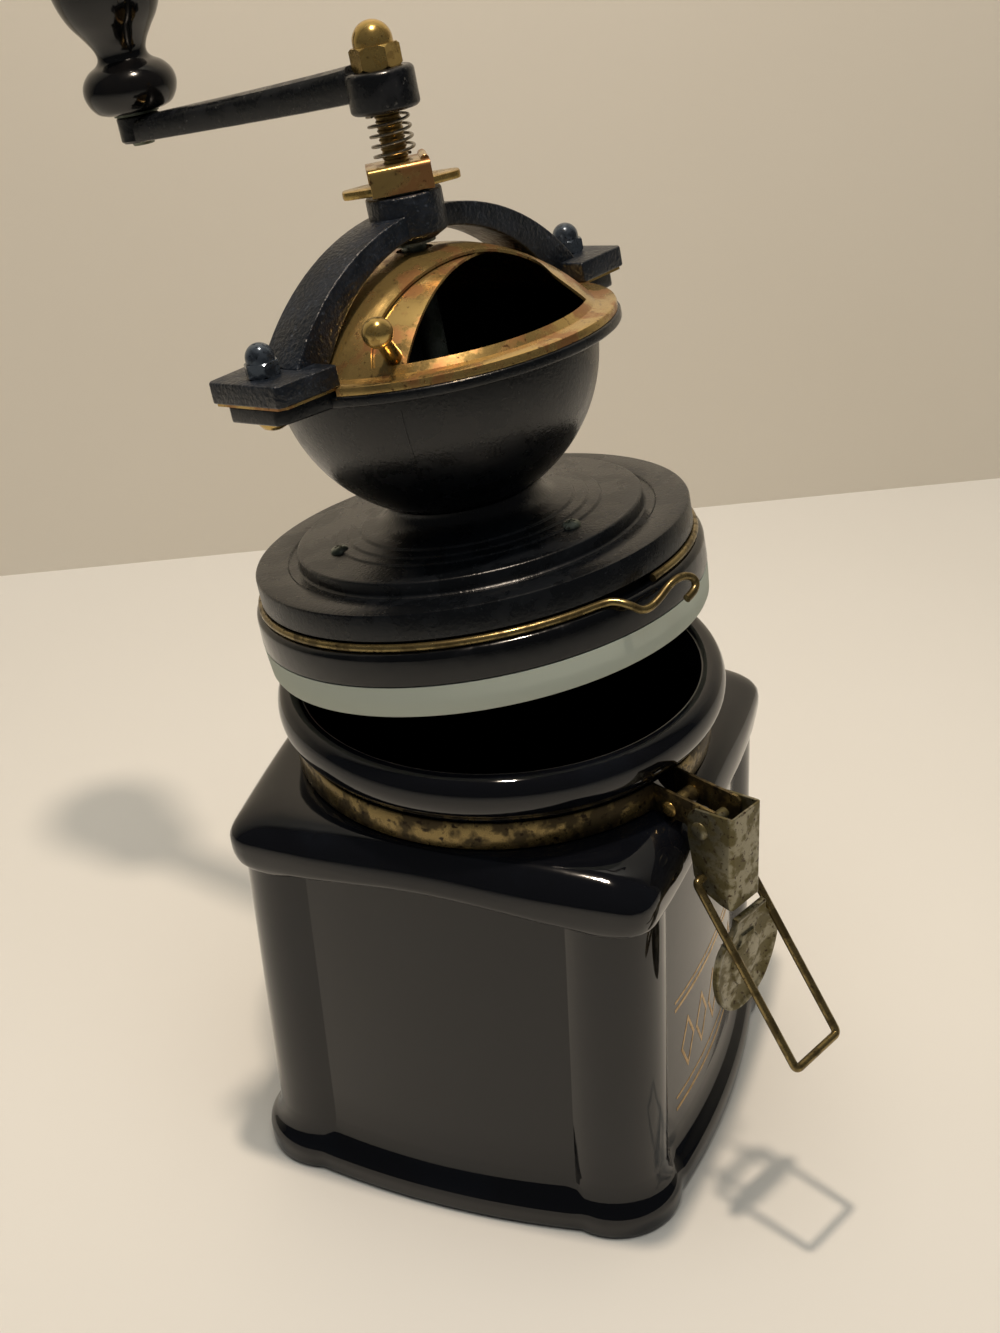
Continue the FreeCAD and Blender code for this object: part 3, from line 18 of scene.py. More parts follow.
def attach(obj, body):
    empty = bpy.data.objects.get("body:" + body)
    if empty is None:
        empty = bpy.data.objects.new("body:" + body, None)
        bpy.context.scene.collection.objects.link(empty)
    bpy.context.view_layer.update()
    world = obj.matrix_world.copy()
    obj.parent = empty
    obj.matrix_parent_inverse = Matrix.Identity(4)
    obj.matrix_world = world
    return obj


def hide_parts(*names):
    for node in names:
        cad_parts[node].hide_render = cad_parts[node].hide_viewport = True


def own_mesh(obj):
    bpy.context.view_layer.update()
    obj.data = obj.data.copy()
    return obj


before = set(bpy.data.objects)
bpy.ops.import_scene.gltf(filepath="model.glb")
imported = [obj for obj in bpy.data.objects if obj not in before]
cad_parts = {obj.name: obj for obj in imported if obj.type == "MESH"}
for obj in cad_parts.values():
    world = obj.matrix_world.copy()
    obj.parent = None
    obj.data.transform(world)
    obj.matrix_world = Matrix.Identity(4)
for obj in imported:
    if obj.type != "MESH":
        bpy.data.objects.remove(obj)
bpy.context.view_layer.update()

LOG = logging.getLogger("grinder")
MM = 0.001
Point = Sequence[float]
Mesh = bmesh.types.BMesh
Tree = bpy.types.NodeTree
Socket = bpy.types.NodeSocket


# Frames of the fittings and the lid

FITTING_TURN = math.radians(-22.0)
LID_OPEN = math.radians(10.28)
HINGE = Vector((0.0, 58.5, 121.0))
FITTINGS = Matrix.Rotation(FITTING_TURN, 4, "Z")
LID = (
    FITTINGS
    @ Matrix.Translation(HINGE)
    @ Matrix.Rotation(-LID_OPEN, 4, "X")
    @ Matrix.Translation(-HINGE)
)
UPRIGHT = Matrix.Identity(4)
# Turns that stand a plate, drawn flat, in the plane of Y and Z or of X and Z.
DRAWN_YZ = Matrix(((0, 0, 1, 0), (1, 0, 0, 0), (0, 1, 0, 0), (0, 0, 0, 1)))
DRAWN_XZ = Matrix(((1, 0, 0, 0), (0, 0, -1, 0), (0, 1, 0, 0), (0, 0, 0, 1)))


class Body(Enum):
    """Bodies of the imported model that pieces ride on."""

    CANISTER = "canister"
    LID = "lid"
    DOOR = "door"
    CARRIER = "carrier"
    NUT = "nut"
    CLIP = "clip"
    SPINDLE = "spindle"
    KNOB = "crank_knob"
    LEVER = "lever"
    BAIL = "bail"


# Mesh tools


def turned(turn: float, x: float = 0.0, y: float = 0.0, z: float = 0.0) -> Matrix:
    """Place in a frame: turned by degrees about Z, then moved."""
    return Matrix.Rotation(math.radians(turn), 4, "Z") @ Matrix.Translation((x, y, z))


def arc(
    cx: float, cz: float, radius: float, start: float, end: float, steps: int
) -> list[tuple[float, float]]:
    """Points of a circular arc for a profile.

    Args:
        cx: Centre, first coordinate.
        cz: Centre, second coordinate.
        radius: Radius of the arc.
        start: First angle in degrees.
        end: Last angle in degrees.
        steps: Number of chords.

    Returns:
        The points in order, both ends included.
    """
    turns = [math.radians(start + (end - start) * step / steps) for step in range(steps + 1)]
    return [(cx + radius * math.cos(turn), cz + radius * math.sin(turn)) for turn in turns]


def elevation(radius: float, reach: float) -> float:
    """Elevation in degrees of a dome's point at a distance from its axis."""
    return math.degrees(math.acos(reach / radius))


def arc_through(first: Point, middle: Point, last: Point, steps: int) -> list[Vector]:
    """Points on the arc through three points of a plane.

    Args:
        first: Start of the arc.
        middle: A point on the arc.
        last: End of the arc.
        steps: Number of chords.

    Returns:
        The points in order, both ends included.
    """
    ax, ay, bx, by, cx, cy = *first[:2], *middle[:2], *last[:2]
    twice = 2 * (ax * (by - cy) + bx * (cy - ay) + cx * (ay - by))
    a2, b2, c2 = ax * ax + ay * ay, bx * bx + by * by, cx * cx + cy * cy
    ux = (a2 * (by - cy) + b2 * (cy - ay) + c2 * (ay - by)) / twice
    uy = (a2 * (cx - bx) + b2 * (ax - cx) + c2 * (bx - ax)) / twice
    radius = math.hypot(ax - ux, ay - uy)
    start = math.atan2(ay - uy, ax - ux)
    end = math.atan2(cy - uy, cx - ux)
    while end < start:
        end += 2 * math.pi
    turns = [start + (end - start) * step / steps for step in range(steps + 1)]
    return [Vector((ux + radius * math.cos(turn), uy + radius * math.sin(turn))) for turn in turns]


def smooth_row(row: Sequence[Point], parts: int) -> list[tuple[float, ...]]:
    """Catmull-Rom points through a row of points.

    Args:
        row: Points of any dimension.
        parts: Points per span.

    Returns:
        The finer row, first and last point kept.
    """
    result = []
    for index in range(len(row) - 1):
        before = row[max(index - 1, 0)]
        start, end = row[index], row[index + 1]
        after = row[min(index + 2, len(row) - 1)]
        for part in range(parts):
            t = part / parts
            weights = (
                -0.5 * t**3 + t**2 - 0.5 * t,
                1.5 * t**3 - 2.5 * t**2 + 1,
                -1.5 * t**3 + 2 * t**2 + 0.5 * t,
                0.5 * t**3 - 0.5 * t**2,
            )
            knots = zip(before, start, end, after)
            result.append(tuple(sum(w * k for w, k in zip(weights, knot)) for knot in knots))
    result.append(tuple(row[-1]))
    return result


def spun(profile: Sequence[Point], steps: int = 128) -> Mesh:
    """Closed body of revolution about Z.

    Args:
        profile: Closed half section as (radius, height) points.
        steps: Number of segments round the axis.

    Returns:
        The mesh with merged doubles and outward faces.
    """
    bm = bmesh.new()
    verts = [bm.verts.new((radius, 0.0, height)) for radius, height in profile]
    edges = [bm.edges.new((verts[i], verts[(i + 1) % len(verts)])) for i in range(len(verts))]
    bmesh.ops.spin(
        bm,
        geom=verts + edges,
        cent=(0, 0, 0),
        axis=(0, 0, 1),
        angle=2 * math.pi,
        steps=steps,
        use_merge=True,
    )
    bmesh.ops.remove_doubles(bm, verts=bm.verts, dist=1e-4)
    bmesh.ops.dissolve_degenerate(bm, dist=1e-5, edges=bm.edges)
    bmesh.ops.recalc_face_normals(bm, faces=bm.faces)
    return bm


def plate(outline: Sequence[Point], low: float, high: float) -> Mesh:
    """Flat plate: an outline in XY lifted from one height to another."""
    bm = bmesh.new()
    face = bm.faces.new([bm.verts.new((point[0], point[1], low)) for point in outline])
    lifted = bmesh.ops.extrude_face_region(bm, geom=[face])
    verts = [item for item in lifted["geom"] if isinstance(item, bmesh.types.BMVert)]
    bmesh.ops.translate(bm, verts=verts, vec=(0, 0, high - low))
    bmesh.ops.recalc_face_normals(bm, faces=bm.faces)
    return bm


def lofted(rings: Sequence[Sequence[Vector]], close_ends: bool = True) -> Mesh:
    """Skin over rings of equal point count, made by extruding the first ring from one to the next.

    Args:
        rings: Rings of points in the same order.
        close_ends: Whether the first and last ring get a cap.

    Returns:
        The mesh with outward faces.
    """
    bm = bmesh.new()
    ring = [bm.verts.new(point) for point in rings[0]]
    edges = [bm.edges.new((ring[i], ring[(i + 1) % len(ring)])) for i in range(len(ring))]
    if close_ends:
        bm.faces.new(ring)
    for points in rings[1:]:
        grown = bmesh.ops.extrude_edge_only(bm, edges=edges)["geom"]
        fresh = {tuple(v.co): v for v in grown if isinstance(v, bmesh.types.BMVert)}
        ring = [fresh[tuple(vert.co)] for vert in ring]
        members = set(ring)
        edges = [
            item
            for item in grown
            if isinstance(item, bmesh.types.BMEdge) and set(item.verts) <= members
        ]
        for vert, point in zip(ring, points):
            vert.co = point
    if close_ends:
        bm.faces.new(ring)
    bmesh.ops.recalc_face_normals(bm, faces=bm.faces)
    return bm


def soften(bm: Mesh, width: float, segments: int = 2, angle: float = 32.0) -> Mesh:
    """Round the edges that are sharper than an angle.

    Args:
        bm: Mesh to change.
        width: Width of the rounding.
        segments: Segments across it.
        angle: Least angle in degrees between the faces of such an edge.

    Returns:
        The same mesh.
    """
    limit = math.radians(angle)
    sharp = [edge for edge in bm.edges if len(edge.link_faces) == 2 and edge.calc_face_angle(0.0) > limit]
    bmesh.ops.bevel(
        bm,
        geom=sharp,
        offset=width,
        segments=segments,
        profile=0.5,
        affect="EDGES",
        clamp_overlap=True,
        material=-1,
    )
    return bm


def moved(bm: Mesh, place: Matrix) -> Mesh:
    """The mesh moved by a matrix."""
    bmesh.ops.transform(bm, matrix=place, verts=bm.verts)
    return bm


def joined(parts: Iterable[Mesh]) -> Mesh:
    """One mesh that holds several closed shells."""
    whole = bmesh.new()
    for part in parts:
        scratch = bpy.data.meshes.new("scratch")
        part.to_mesh(scratch)
        whole.from_mesh(scratch)
        bpy.data.meshes.remove(scratch)
        part.free()
    return whole


def scratch_object(bm: Mesh) -> bpy.types.Object:
    """Temporary object that holds the mesh."""
    mesh = bpy.data.meshes.new("scratch")
    bm.to_mesh(mesh)
    bm.free()
    obj = bpy.data.objects.new("scratch", mesh)
    bpy.context.scene.collection.objects.link(obj)
    return obj


def carved(
    solid: Mesh,
    tools: Sequence[Mesh],
    operation: str = "DIFFERENCE",
) -> Mesh:
    """Solid after exact booleans with the tools.

    Args:
        solid: Mesh to work on.
        tools: Closed meshes to cut away, add or keep in common.
        operation: Name of the Boolean modifier's operation.

    Returns:
        The resulting mesh.
    """
    target = scratch_object(solid)
    helpers = [scratch_object(tool) for tool in tools]
    for helper in helpers:
        modifier = target.modifiers.new("cut", "BOOLEAN")
        modifier.operation = operation
        modifier.object = helper
        modifier.solver = "EXACT"
    graph = bpy.context.evaluated_depsgraph_get()
    result = bpy.data.meshes.new_from_object(target.evaluated_get(graph), depsgraph=graph)
    bm = bmesh.new()
    bm.from_mesh(result)
    for obj in [target, *helpers]:
        mesh = obj.data
        bpy.data.objects.remove(obj)
        bpy.data.meshes.remove(mesh)
    bpy.data.meshes.remove(result)
    bmesh.ops.remove_doubles(bm, verts=bm.verts, dist=1e-4)
    return bm


def wire(points: Sequence[Point], radius: float, closed: bool = False, sides: int = 5) -> Mesh:
    """Round wire along a smooth spline that its points control.

    Args:
        points: Control points.
        radius: Radius of the wire.
        closed: Whether the spline closes on itself.
        sides: Bevel resolution of the round section.

    Returns:
        The wire's mesh.
    """
    curve = bpy.data.curves.new("scratch", "CURVE")
    curve.dimensions = "3D"
    curve.bevel_depth = radius
    curve.bevel_resolution = sides
    curve.resolution_u = 8
    curve.use_fill_caps = True
    spline = curve.splines.new("NURBS")
    spline.points.add(len(points) - 1)
    for slot, point in zip(spline.points, points):
        slot.co = (*point, 1.0)
    spline.order_u = 3
    spline.use_endpoint_u = not closed
    spline.use_cyclic_u = closed
    obj = bpy.data.objects.new("scratch", curve)
    bpy.context.scene.collection.objects.link(obj)
    graph = bpy.context.evaluated_depsgraph_get()
    mesh = bpy.data.meshes.new_from_object(obj.evaluated_get(graph), depsgraph=graph)
    bm = bmesh.new()
    bm.from_mesh(mesh)
    bpy.data.meshes.remove(mesh)
    bpy.data.objects.remove(obj)
    bpy.data.curves.remove(curve)
    bmesh.ops.remove_doubles(bm, verts=bm.verts, dist=1e-5)
    bmesh.ops.recalc_face_normals(bm, faces=bm.faces)
    return bm


def bent(points: Sequence[Point], bend: float) -> list[Vector]:
    """Control points for a wire of straight runs with rounded corners.

    Args:
        points: Ends and corners of the runs.
        bend: Length of each corner's rounding along its runs.

    Returns:
        Points that hold the runs straight up to each corner.
    """
    path = [Vector(point) for point in points]
    result = [path[0]]
    for before, corner, after in zip(path, path[1:], path[2:]):
        for other in (before, after):
            run = other - corner
            room = min(bend, run.length * 0.45)
            if other is before:
                result += [corner + run.normalized() * room, corner]
            else:
                result.append(corner + run.normalized() * room)
    result.append(path[-1])
    return result


def hexagon(across_flats: float, low: float, high: float) -> Mesh:
    """Hexagon nut blank with its upper and lower corners turned off."""
    reach = across_flats / math.sqrt(3)
    outline = [(reach * math.cos(math.pi / 3 * i), reach * math.sin(math.pi / 3 * i)) for i in range(6)]
    crown = reach * 0.12
    cone = spun(
        [
            (0.0, low - 0.01),
            (reach * 0.9, low - 0.01),
            (reach * 1.02, low + crown),
            (reach * 1.02, high - crown),
            (reach * 0.9, high + 0.01),
            (0.0, high + 0.01),
        ],
        48,
    )
    return carved(plate(outline, low, high), [cone], "INTERSECT")


def cap_nut(flats: float, low: float, tall: float, dome: float) -> Mesh:
    """Hexagon nut with a domed cap."""
    cap = [(0.0, low + tall - 0.5), (dome, low + tall - 0.5), (dome, low + tall + 0.6)]
    cap += arc(0, low + tall + 0.9, dome, 0, 90, 12)
    return joined([hexagon(flats, low, low + tall), spun(cap, 48)])


# Finishes


def linear(code: str) -> tuple[float, float, float, float]:
    """Scene-linear colour of an sRGB hex code such as "#a08040"."""
    parts = [int(code[i : i + 2], 16) / 255 for i in (1, 3, 5)]
    lit = [part / 12.92 if part <= 0.04045 else ((part + 0.055) / 1.055) ** 2.4 for part in parts]
    return (lit[0], lit[1], lit[2], 1.0)


def add_node(tree: Tree, kind: str, settings: dict, inputs: dict) -> bpy.types.Node:
    """Add a node with its settings, values and links.

    Args:
        tree: Node tree.
        kind: Type name of the node.
        settings: Properties of the node.
        inputs: Value or output socket for each input, by name or number.

    Returns:
        The node.
    """
    node = tree.nodes.new(kind)
    for name, value in settings.items():
        setattr(node, name, value)
    for name, value in inputs.items():
        socket = node.inputs[name]
        if isinstance(value, Socket):
            tree.links.new(value, socket)
        else:
            socket.default_value = value
    return node


def mixed_colour(tree: Tree, share: Socket, first: object, second: object) -> Socket:
    """Colour between two colours or sockets by a share."""
    inputs = {0: share, 6: first, 7: second}
    return add_node(tree, "ShaderNodeMix", {"data_type": "RGBA"}, inputs).outputs[2]


def cleared_tree(made: bpy.types.ID) -> Tree:
    """Empty node tree of a new material or world."""
    made.use_nodes = True
    made.node_tree.nodes.clear()
    return made.node_tree


def per_mm(size: float) -> float:
    """Texture scale on object coordinates in metres for a feature of so many millimetres."""
    return 1000.0 / size


# How far a noise texture strays from its middle, and half the soft edge of a patch on it.
NOISE_SPREAD = 0.42
PATCH_EDGE = 0.05
COAT_ROUGHNESS = 0.06
# How far red, green and blue light goes under a skin, in metres.
LIGHT_DEPTH = (0.002, 0.003, 0.002)


@dataclass(frozen=True)
class Finish:
    """Surface finish: two colours in patches, a third in spots, roughness and relief.

    Args:
        name: Name of the material.
        base: Main colour as sRGB hex.
        second: Colour of the patches.
        spots: Colour of the small spots.
        patch_mm: Size of the patches.
        spot_mm: Size of the spots.
        patch_share: Share of the surface that the patches take, 0 to 1.
        spot_share: Share that the spots take, 0 to 1.
        metallic: Metallic value.
        rough: Roughness of the main colour and of the patches.
        grain_mm: Size of the relief's grain.
        grain_depth: Depth of the relief in millimetres.
        coat: Weight of a clear coat.
        subsurface: Weight of light that goes through the skin.
    """

    name: str
    base: str
    second: str
    spots: str
    patch_mm: float = 6.0
    spot_mm: float = 1.2
    patch_share: float = 0.4
    spot_share: float = 0.15
    metallic: float = 0.0
    rough: tuple[float, float] = (0.3, 0.5)
    grain_mm: float = 0.8
    grain_depth: float = 0.05
    coat: float = 0.0
    subsurface: float = 0.0

    def _mask(self, tree: Tree, place: Socket, size: float, share: float, detail: float) -> Socket:
        """Soft-edged patches of a size that take a share of the surface."""
        inputs = {"Vector": place, "Scale": per_mm(size), "Detail": detail, "Roughness": 0.6}
        cloud = add_node(tree, "ShaderNodeTexNoise", {}, inputs)
        edge = 0.5 + (0.5 - share) * NOISE_SPREAD
        limits = {"Value": cloud.outputs[0], "From Min": edge - PATCH_EDGE, "From Max": edge + PATCH_EDGE}
        return add_node(tree, "ShaderNodeMapRange", {}, limits).outputs[0]

    def material(self) -> bpy.types.Material:
        """Node material of the finish, made once."""
        ready = bpy.data.materials.get(self.name)
        if ready:
            return ready
        made = bpy.data.materials.new(self.name)
        tree = cleared_tree(made)
        place = add_node(tree, "ShaderNodeTexCoord", {}, {}).outputs["Object"]
        patches = self._mask(tree, place, self.patch_mm, self.patch_share, 5.0)
        spots = self._mask(tree, place, self.spot_mm, self.spot_share, 3.0)
        body = mixed_colour(tree, patches, linear(self.base), linear(self.second))
        colour = mixed_colour(tree, spots, body, linear(self.spots))
        limits = {"Value": patches, "To Min": self.rough[0], "To Max": self.rough[1]}
        roughness = add_node(tree, "ShaderNodeMapRange", {}, limits)
        inputs = {"Vector": place, "Scale": per_mm(self.grain_mm), "Detail": 3.0}
        grain = add_node(tree, "ShaderNodeTexNoise", {}, inputs)
        inputs = {"Strength": 1.0, "Distance": self.grain_depth * MM, "Height": grain.outputs[0]}
        relief = add_node(tree, "ShaderNodeBump", {}, inputs)
        shader = add_node(
            tree,
            "ShaderNodeBsdfPrincipled",
            {},
            {
                "Base Color": self.tint(tree, place, colour),
                "Metallic": self.metallic,
                "Roughness": roughness.outputs[0],
                "Normal": relief.outputs[0],
                "Coat Weight": self.coat,
                "Coat Roughness": COAT_ROUGHNESS,
                "Subsurface Weight": self.subsurface,
            },
        )
        if self.subsurface:
            shader.inputs["Subsurface Radius"].default_value = LIGHT_DEPTH
            shader.inputs["Subsurface Scale"].default_value = 1.0
        add_node(tree, "ShaderNodeOutputMaterial", {}, {"Surface": shader.outputs[0]})
        return made

    def tint(self, tree: Tree, place: Socket, colour: Socket) -> Socket:
        """Colour after the finish's own marks; a plain finish has none."""
        return colour


@dataclass(frozen=True)
class MarkedFinish(Finish):
    """Finish with chips or rust at given places.

    Args:
        marks: Places in millimetres with their radius.
        mark: Colour of the marks.
    """

    marks: tuple[tuple[float, float, float, float], ...] = ()
    mark: str = "#c8c2b8"

    def tint(self, tree: Tree, place: Socket, colour: Socket) -> Socket:
        """Colour with each mark laid over it as a ragged spot."""
        inputs = {"Vector": place, "Scale": per_mm(1.5), "Detail": 4.0}
        ragged = add_node(tree, "ShaderNodeTexNoise", {}, inputs).outputs[0]
        for x, y, z, radius in self.marks:
            ends = {0: place, 1: (x * MM, y * MM, z * MM)}
            away = add_node(tree, "ShaderNodeVectorMath", {"operation": "DISTANCE"}, ends).outputs["Value"]
            sums = {0: ragged, 1: radius * MM * 1.2, 2: away}
            uneven = add_node(tree, "ShaderNodeMath", {"operation": "MULTIPLY_ADD"}, sums).outputs[0]
            limit = {0: uneven, 1: radius * MM * 1.5}
            inside = add_node(tree, "ShaderNodeMath", {"operation": "LESS_THAN"}, limit).outputs[0]
            colour = mixed_colour(tree, inside, colour, linear(self.mark))
        return colour


# Fired black glaze is glass over clay: deep black, mirror smooth, faintly wavy, pale clay where it chips.
BLACK_GLAZE = MarkedFinish(
    "fired_black_glaze", "#0b0c10", "#0d0f14", "#0a0b0d", 22.0, 3.0, 0.4, 0.1,
    0.0, (0.05, 0.1), 9.0, 0.035, marks=((-44.6, -52.9, 2.6, 2.6), (-47.8, -53.4, 1.6, 1.8)), mark="#cfc6ba",
)
# Sand-cast iron under black paint: fine pits, satin, dusty grey in the hollows.
PAINTED_IRON = Finish(
    "painted_cast_iron", "#07090c", "#0c0f13", "#25282c", 9.0, 0.7, 0.45, 0.06, 0.0, (0.25, 0.32), 0.9, 0.08,
)
# The yoke kept its sand skin: coarse grain under thin blue-black paint.
SAND_IRON = Finish(
    "sand_cast_iron", "#0f141b", "#161c25", "#343b45", 7.0, 0.9, 0.45, 0.14, 0.0, (0.3, 0.42), 1.0, 0.36,
)
# The underside plate has a thick stoved lacquer: black and glossy with soft dents.
STOVED_LACQUER = Finish(
    "stoved_black_lacquer", "#060709", "#0a0b0e", "#1a1c20", 12.0, 1.0, 0.35, 0.05, 0.0, (0.12, 0.25), 3.0,
    0.06,
)
# Forged iron arm: black paint, rubbed grey on the crown, chipped to bare metal in places.
FORGED_IRON = Finish(
    "forged_black_iron", "#0b0d10", "#14161a", "#5a5a58", 7.0, 1.1, 0.4, 0.05, 0.0, (0.26, 0.42), 1.2, 0.07,
)
# Pressed brass cover: handled bright, with olive tarnish and brown spots.
PRESSED_BRASS = Finish(
    "pressed_brass", "#c6a768", "#a87c50", "#6a4c2e", 9.0, 1.3, 0.42, 0.12, 0.85, (0.2, 0.38), 1.6, 0.02,
)
# Strap brass: thinner lacquer gone in patches, with its tone and dark brown patches darkened further as painted
# shade, for the strap sits under the lid; so more brown and dull than the cover.
STRAP_BRASS_AND_SHADE = Finish(
    "strap_brass", "#86744b", "#483e2a", "#292117", 7.0, 2.0, 0.5, 0.22, 0.8, (0.26, 0.5), 1.4, 0.03,
)
# Turned brass of the nuts and the knob ball: clean with faint tarnish.
TURNED_BRASS = Finish(
    "turned_brass", "#c0a362", "#a0844c", "#705934", 3.0, 0.8, 0.35, 0.1, 0.85, (0.2, 0.34), 0.9, 0.015,
)
# Plated sheet of the clamp: nickel worn through to brass and rust.
WORN_PLATE = Finish(
    "worn_plated_sheet", "#8b8671", "#6c6444", "#40301e", 4.0, 1.2, 0.5, 0.2, 0.75, (0.3, 0.55), 1.0, 0.05,
)
# Drawn wire of bail and ring: brassy brown, satin along its length.
DRAWN_WIRE = Finish(
    "drawn_brass_wire", "#8d7c52", "#615436", "#3d3221", 5.0, 1.0, 0.45, 0.12, 0.85, (0.24, 0.4), 1.5, 0.02,
)
# Plain steel of the shaft: grey with a green-brown film of old oil.
OILED_STEEL = Finish(
    "oiled_steel", "#868c82", "#636a5c", "#423f31", 6.0, 1.0, 0.45, 0.12, 0.6, (0.26, 0.42), 0.7, 0.015,
)
# Threaded end of the shaft: zinc-yellow plating gone brown with oil.
THREAD_BRASS = Finish(
    "yellow_plated_thread", "#9c8450", "#77623a", "#433724", 3.0, 0.8, 0.45, 0.15, 0.8, (0.28, 0.42), 0.6,
    0.015,
)
# Blued steel cap nuts: dark blue-black steel, its colour lightened to blue-grey as painted sheen for the clear
# gleam on their domes.
BLUED_STEEL_AND_SHEEN = Finish(
    "blued_steel_and_sheen", "#5a636e", "#3b424b", "#1d2126", 3.0, 0.8, 0.4, 0.15, 0.7, (0.16, 0.3), 0.8, 0.01,
)
# Spring wire: grey steel with a warm tint.
SPRING_WIRE = Finish(
    "spring_wire", "#958d7e", "#766b57", "#4a4131", 3.0, 0.7, 0.4, 0.1, 0.85, (0.22, 0.36), 0.6, 0.01,
)
# Moulded seal: pale green-white rubber that lets a little light through, dulled by handling, with its colour
# lowered all over as painted shade for the darkening under the lid disc.
PALE_RUBBER_AND_SHADE = Finish(
    "pale_rubber", "#808f92", "#76857f", "#6c786a", 16.0, 2.4, 0.4, 0.1, 0.0, (0.38, 0.52), 2.0, 0.03, 0.0,
    0.12,
)
# Turned knob: black lacquer over wood, glossy, grain only just felt.
LACQUERED_WOOD = Finish(
    "black_lacquered_wood", "#0a0a0b", "#0e0d0d", "#1c1b1a", 10.0, 0.8, 0.4, 0.03, 0.0, (0.09, 0.16), 4.0,
    0.03,
)
# Gold transfer print fired on the glaze: thin, flat and slightly rubbed.
FIRED_GOLD = Finish(
    "fired_gold_print", "#cba25c", "#b08a4a", "#5a4526", 3.0, 0.8, 0.4, 0.1, 0.3, (0.3, 0.42), 1.0, 0.01,
)
# Burr iron: bare, ground and grey.
GROUND_IRON = Finish(
    "ground_burr_iron", "#5c5d5c", "#4a4846", "#38291c", 4.0, 0.8, 0.4, 0.14, 1.0, (0.34, 0.5), 0.6, 0.03,
)


def place_piece(
    name: str,
    bm: Mesh,
    place: Matrix,
    finish: Finish,
    body: Body,
    replaces: Sequence[str] = (),
    smooth: float = 34.0,
) -> bpy.types.Object:
    """Turn a mesh in millimetres into a piece of the scene.

    Args:
        name: Name of the piece.
        bm: Mesh in millimetres in its own frame.
        place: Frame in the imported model, in millimetres.
        finish: Surface finish.
        body: Body that the piece rides on.
        replaces: Nodes that the piece stands for.
        smooth: Angle in degrees up to which neighbouring faces shade as one.

    Returns:
        The new object.
    """
    bmesh.ops.transform(bm, matrix=Matrix.Scale(MM, 4) @ place, verts=bm.verts)
    mesh = bpy.data.meshes.new(name)
    bm.to_mesh(mesh)
    bm.free()
    mesh.polygons.foreach_set("use_smooth", [True] * len(mesh.polygons))
    mesh.set_sharp_from_angle(angle=math.radians(smooth))
    mesh.materials.append(finish.material())
    obj = bpy.data.objects.new(name, mesh)
    bpy.context.scene.collection.objects.link(obj)
    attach(obj, body.value)
    if replaces:
        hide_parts(*replaces)
    LOG.info("%s: %d faces on %s", name, len(mesh.polygons), body.value)
    return obj


def dress_node(node: str, finish: Finish) -> None:
    """Give a carried-over node its finish."""
    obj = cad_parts[node]
    obj.data.materials.clear()
    obj.data.materials.append(finish.material())


# Canister


